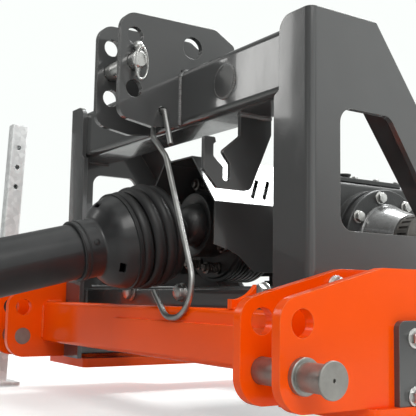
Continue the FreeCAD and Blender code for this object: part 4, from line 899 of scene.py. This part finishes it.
def pale_world():
    """White to the camera, a soft even light, and patches of light and shade for gloss to mirror."""
    tint = (0.97, 1.0, 0.98, 1.0)
    bright_side = (0.14, 0.14, 0.16)
    world = bpy.data.worlds.new("studio")
    bpy.context.scene.world = world
    world.use_nodes = True
    tree = world.node_tree
    tree.nodes.clear()
    path = tree.nodes.new("ShaderNodeLightPath")
    way = tree.nodes.new("ShaderNodeTexCoord").outputs["Generated"]
    patches = tree.nodes.new("ShaderNodeTexNoise")
    patches.inputs["Scale"].default_value = 3.4
    patches.inputs["Detail"].default_value = 4.0
    tree.links.new(way, patches.inputs["Vector"])
    slant = tree.nodes.new("ShaderNodeVectorMath")
    slant.operation = "DOT_PRODUCT"
    slant.inputs[1].default_value = bright_side
    tree.links.new(way, slant.inputs[0])

    def joined(operation, first, second):
        node = tree.nodes.new("ShaderNodeMath")
        node.operation = operation
        tree.links.new(first, node.inputs[0])
        tree.links.new(second, node.inputs[1])
        return node.outputs["Value"]

    shade = tree.nodes.new("ShaderNodeMapRange")
    shade.inputs["From Min"].default_value = 0.44
    shade.inputs["From Max"].default_value = 0.78
    shade.inputs["To Min"].default_value = -0.4
    shade.inputs["To Max"].default_value = 1.5
    tree.links.new(joined("ADD", patches.outputs["Fac"], slant.outputs["Value"]), shade.inputs["Value"])
    glossy = joined("MULTIPLY", path.outputs["Is Glossy Ray"], shade.outputs["Result"])
    strength = tree.nodes.new("ShaderNodeMapRange")
    strength.inputs["To Min"].default_value = settings("stage").fill
    strength.inputs["To Max"].default_value = 1.0
    strength.clamp = False
    tree.links.new(joined("ADD", path.outputs["Is Camera Ray"], glossy), strength.inputs["Value"])
    background = tree.nodes.new("ShaderNodeBackground")
    background.inputs["Color"].default_value = tint
    tree.links.new(strength.outputs["Result"], background.inputs["Strength"])
    output = tree.nodes.new("ShaderNodeOutputWorld")
    tree.links.new(background.outputs["Background"], output.inputs["Surface"])


def pale_floor(height):
    """A wide floor that takes the shadows and glows a little to the camera, so that it meets the white."""
    half_width = 30.0
    glow = 0.5
    dull = (0.70, 0.71, 0.70, 1.0)
    pale = (0.74, 0.745, 0.735, 1.0)
    mesh = bmesh.new()
    place = Matrix.Translation((0, 0, height))
    bmesh.ops.create_grid(mesh, x_segments=1, y_segments=1, size=half_width, matrix=place)
    data = bpy.data.meshes.new("floor")
    mesh.to_mesh(data)
    mesh.free()
    recipe = Recipe("floor")
    grain = recipe.noise(4.0)
    colour = recipe.mix(grain, dull, pale)
    seen = recipe.add("ShaderNodeLightPath").outputs["Is Camera Ray"]
    recipe.feed(recipe.shader.inputs["Emission Color"], (1.0, 1.0, 1.0, 1.0))
    recipe.feed(recipe.shader.inputs["Emission Strength"], recipe.maths("MULTIPLY", seen, glow))
    data.materials.append(recipe.finish(colour, 0.75, recipe.bump(grain, strength=0.02, distance=0.01)))
    floor = bpy.data.objects.new("floor", data)
    bpy.context.scene.collection.objects.link(floor)


def set_stage():
    """Sets the camera, floor, world and lamps."""
    stage = settings("stage")
    scene = bpy.context.scene
    data = bpy.data.cameras.new("camera")
    data.lens = stage.lens
    data.sensor_width = 36.0
    data.clip_end = 200.0
    camera = bpy.data.objects.new("camera", data)
    scene.collection.objects.link(camera)
    camera.matrix_world = look_matrix(stage)
    scene.camera = camera
    pale_floor(cad_box[0][2] - stage.floor_gap)
    pale_world()
    area_light("sky", stage.sky_power, place=(-0.1, 1.35, 2.6), target=(0.1, 0.0, 0.2), size=(1.5, 1.2),
               colour=(0.98, 1.0, 1.0))
    area_light("key", stage.key_power, place=(2.6, -1.2, 2.4), target=(0.3, -0.1, 0.2), size=(1.6, 1.6),
               colour=(1.0, 0.99, 0.97))
    area_light("front", stage.front_power, place=(-1.6, -1.65, 1.3), target=(0.2, -0.3, 0.5),
               size=(0.45, 0.6), colour=(1.0, 1.0, 0.98))
    scene.view_settings.view_transform = "Standard"


# Operators, panel and registration

class Builds:
    """What the operators share: each names the function that it runs."""

    def execute(self, context):
        self.build()
        return {"FINISHED"}


class HEADSTOCK_OT_paint(Builds, bpy.types.Operator):
    """Give each piece of the frame its finish"""

    bl_idname = "headstock.paint"
    bl_label = "Paint the pieces"
    build = staticmethod(paint_nodes)


class HEADSTOCK_OT_frame_welds(Builds, bpy.types.Operator):
    """Lay the weld beads of the dark frame"""

    bl_idname = "headstock.frame_welds"
    bl_label = "Frame welds"
    build = staticmethod(frame_welds)


class HEADSTOCK_OT_bar_caps(Builds, bpy.types.Operator):
    """Close the ends of the rear bar"""

    bl_idname = "headstock.bar_caps"
    bl_label = "Bar caps"
    build = staticmethod(bar_caps)


class HEADSTOCK_OT_hitch_welds(Builds, bpy.types.Operator):
    """Lay the weld beads of the orange hitch"""

    bl_idname = "headstock.hitch_welds"
    bl_label = "Hitch welds"
    build = staticmethod(hitch_welds)


class HEADSTOCK_OT_plate_bolts(Builds, bpy.types.Operator):
    """Fit the bolts of the hitch plates and main bar"""

    bl_idname = "headstock.plate_bolts"
    bl_label = "Plate bolts"
    build = staticmethod(plate_bolts)


class HEADSTOCK_OT_gearbox_bolts(Builds, bpy.types.Operator):
    """Fit the bolts of the gearbox and shield"""

    bl_idname = "headstock.gearbox_bolts"
    bl_label = "Gearbox bolts"
    build = staticmethod(gearbox_bolts)


class HEADSTOCK_OT_clutch_bolts(Builds, bpy.types.Operator):
    """Fit the spring bolts of the clutch"""

    bl_idname = "headstock.clutch_bolts"
    bl_label = "Clutch bolts"
    build = staticmethod(clutch_bolts)


class HEADSTOCK_OT_guard_trim(Builds, bpy.types.Operator):
    """Fit the ring, rib and screws of the shaft guard"""

    bl_idname = "headstock.guard_trim"
    bl_label = "Guard trim"
    build = staticmethod(guard_trim)


class HEADSTOCK_OT_linch_pin(Builds, bpy.types.Operator):
    """Make the linch pin with its oval ring"""

    bl_idname = "headstock.linch_pin"
    bl_label = "Linch pin"
    build = staticmethod(linch_pin)


class HEADSTOCK_OT_grease_nipples(Builds, bpy.types.Operator):
    """Fit the nipple of the drive shaft's cross"""

    bl_idname = "headstock.grease_nipples"
    bl_label = "Grease nipple"
    build = staticmethod(grease_nipples)


class HEADSTOCK_OT_stage(Builds, bpy.types.Operator):
    """Set the camera, floor and lights"""

    bl_idname = "headstock.stage"
    bl_label = "Stage"
    build = staticmethod(set_stage)


GROUPS = {"finish": FinishSettings, "fastener": FastenerSettings, "weld": WeldSettings,
          "stage": StageSettings}
OPERATORS = [HEADSTOCK_OT_paint, HEADSTOCK_OT_frame_welds, HEADSTOCK_OT_bar_caps,
             HEADSTOCK_OT_hitch_welds, HEADSTOCK_OT_plate_bolts, HEADSTOCK_OT_gearbox_bolts,
             HEADSTOCK_OT_clutch_bolts, HEADSTOCK_OT_guard_trim, HEADSTOCK_OT_linch_pin,
             HEADSTOCK_OT_grease_nipples, HEADSTOCK_OT_stage]


class HEADSTOCK_PT_pieces(bpy.types.Panel):
    """Lists the headstock's sizes, colours and pieces."""

    bl_idname = "HEADSTOCK_PT_pieces"
    bl_label = "Headstock"
    bl_space_type = "VIEW_3D"
    bl_region_type = "UI"
    bl_category = "Headstock"

    def draw(self, context):
        for group in GROUPS:
            holder = settings(group)
            for name in holder.__annotations__:
                self.layout.prop(holder, name)
        for made in OPERATORS:
            self.layout.operator(made.bl_idname)


def register():
    for kind in [*GROUPS.values(), *OPERATORS, HEADSTOCK_PT_pieces]:
        bpy.utils.register_class(kind)
    for group, kind in GROUPS.items():
        setattr(bpy.types.Scene, "headstock_" + group, PointerProperty(type=kind))


def unregister():
    for group in GROUPS:
        delattr(bpy.types.Scene, "headstock_" + group)
    for kind in reversed([*GROUPS.values(), *OPERATORS, HEADSTOCK_PT_pieces]):
        bpy.utils.unregister_class(kind)


def main():
    register()
    bpy.ops.headstock.paint()
    bpy.ops.headstock.frame_welds()
    bpy.ops.headstock.bar_caps()
    bpy.ops.headstock.hitch_welds()
    bpy.ops.headstock.plate_bolts()
    bpy.ops.headstock.gearbox_bolts()
    bpy.ops.headstock.clutch_bolts()
    bpy.ops.headstock.guard_trim()
    bpy.ops.headstock.linch_pin()
    bpy.ops.headstock.grease_nipples()
    bpy.ops.headstock.stage()


if __name__ == "__main__":
    main()
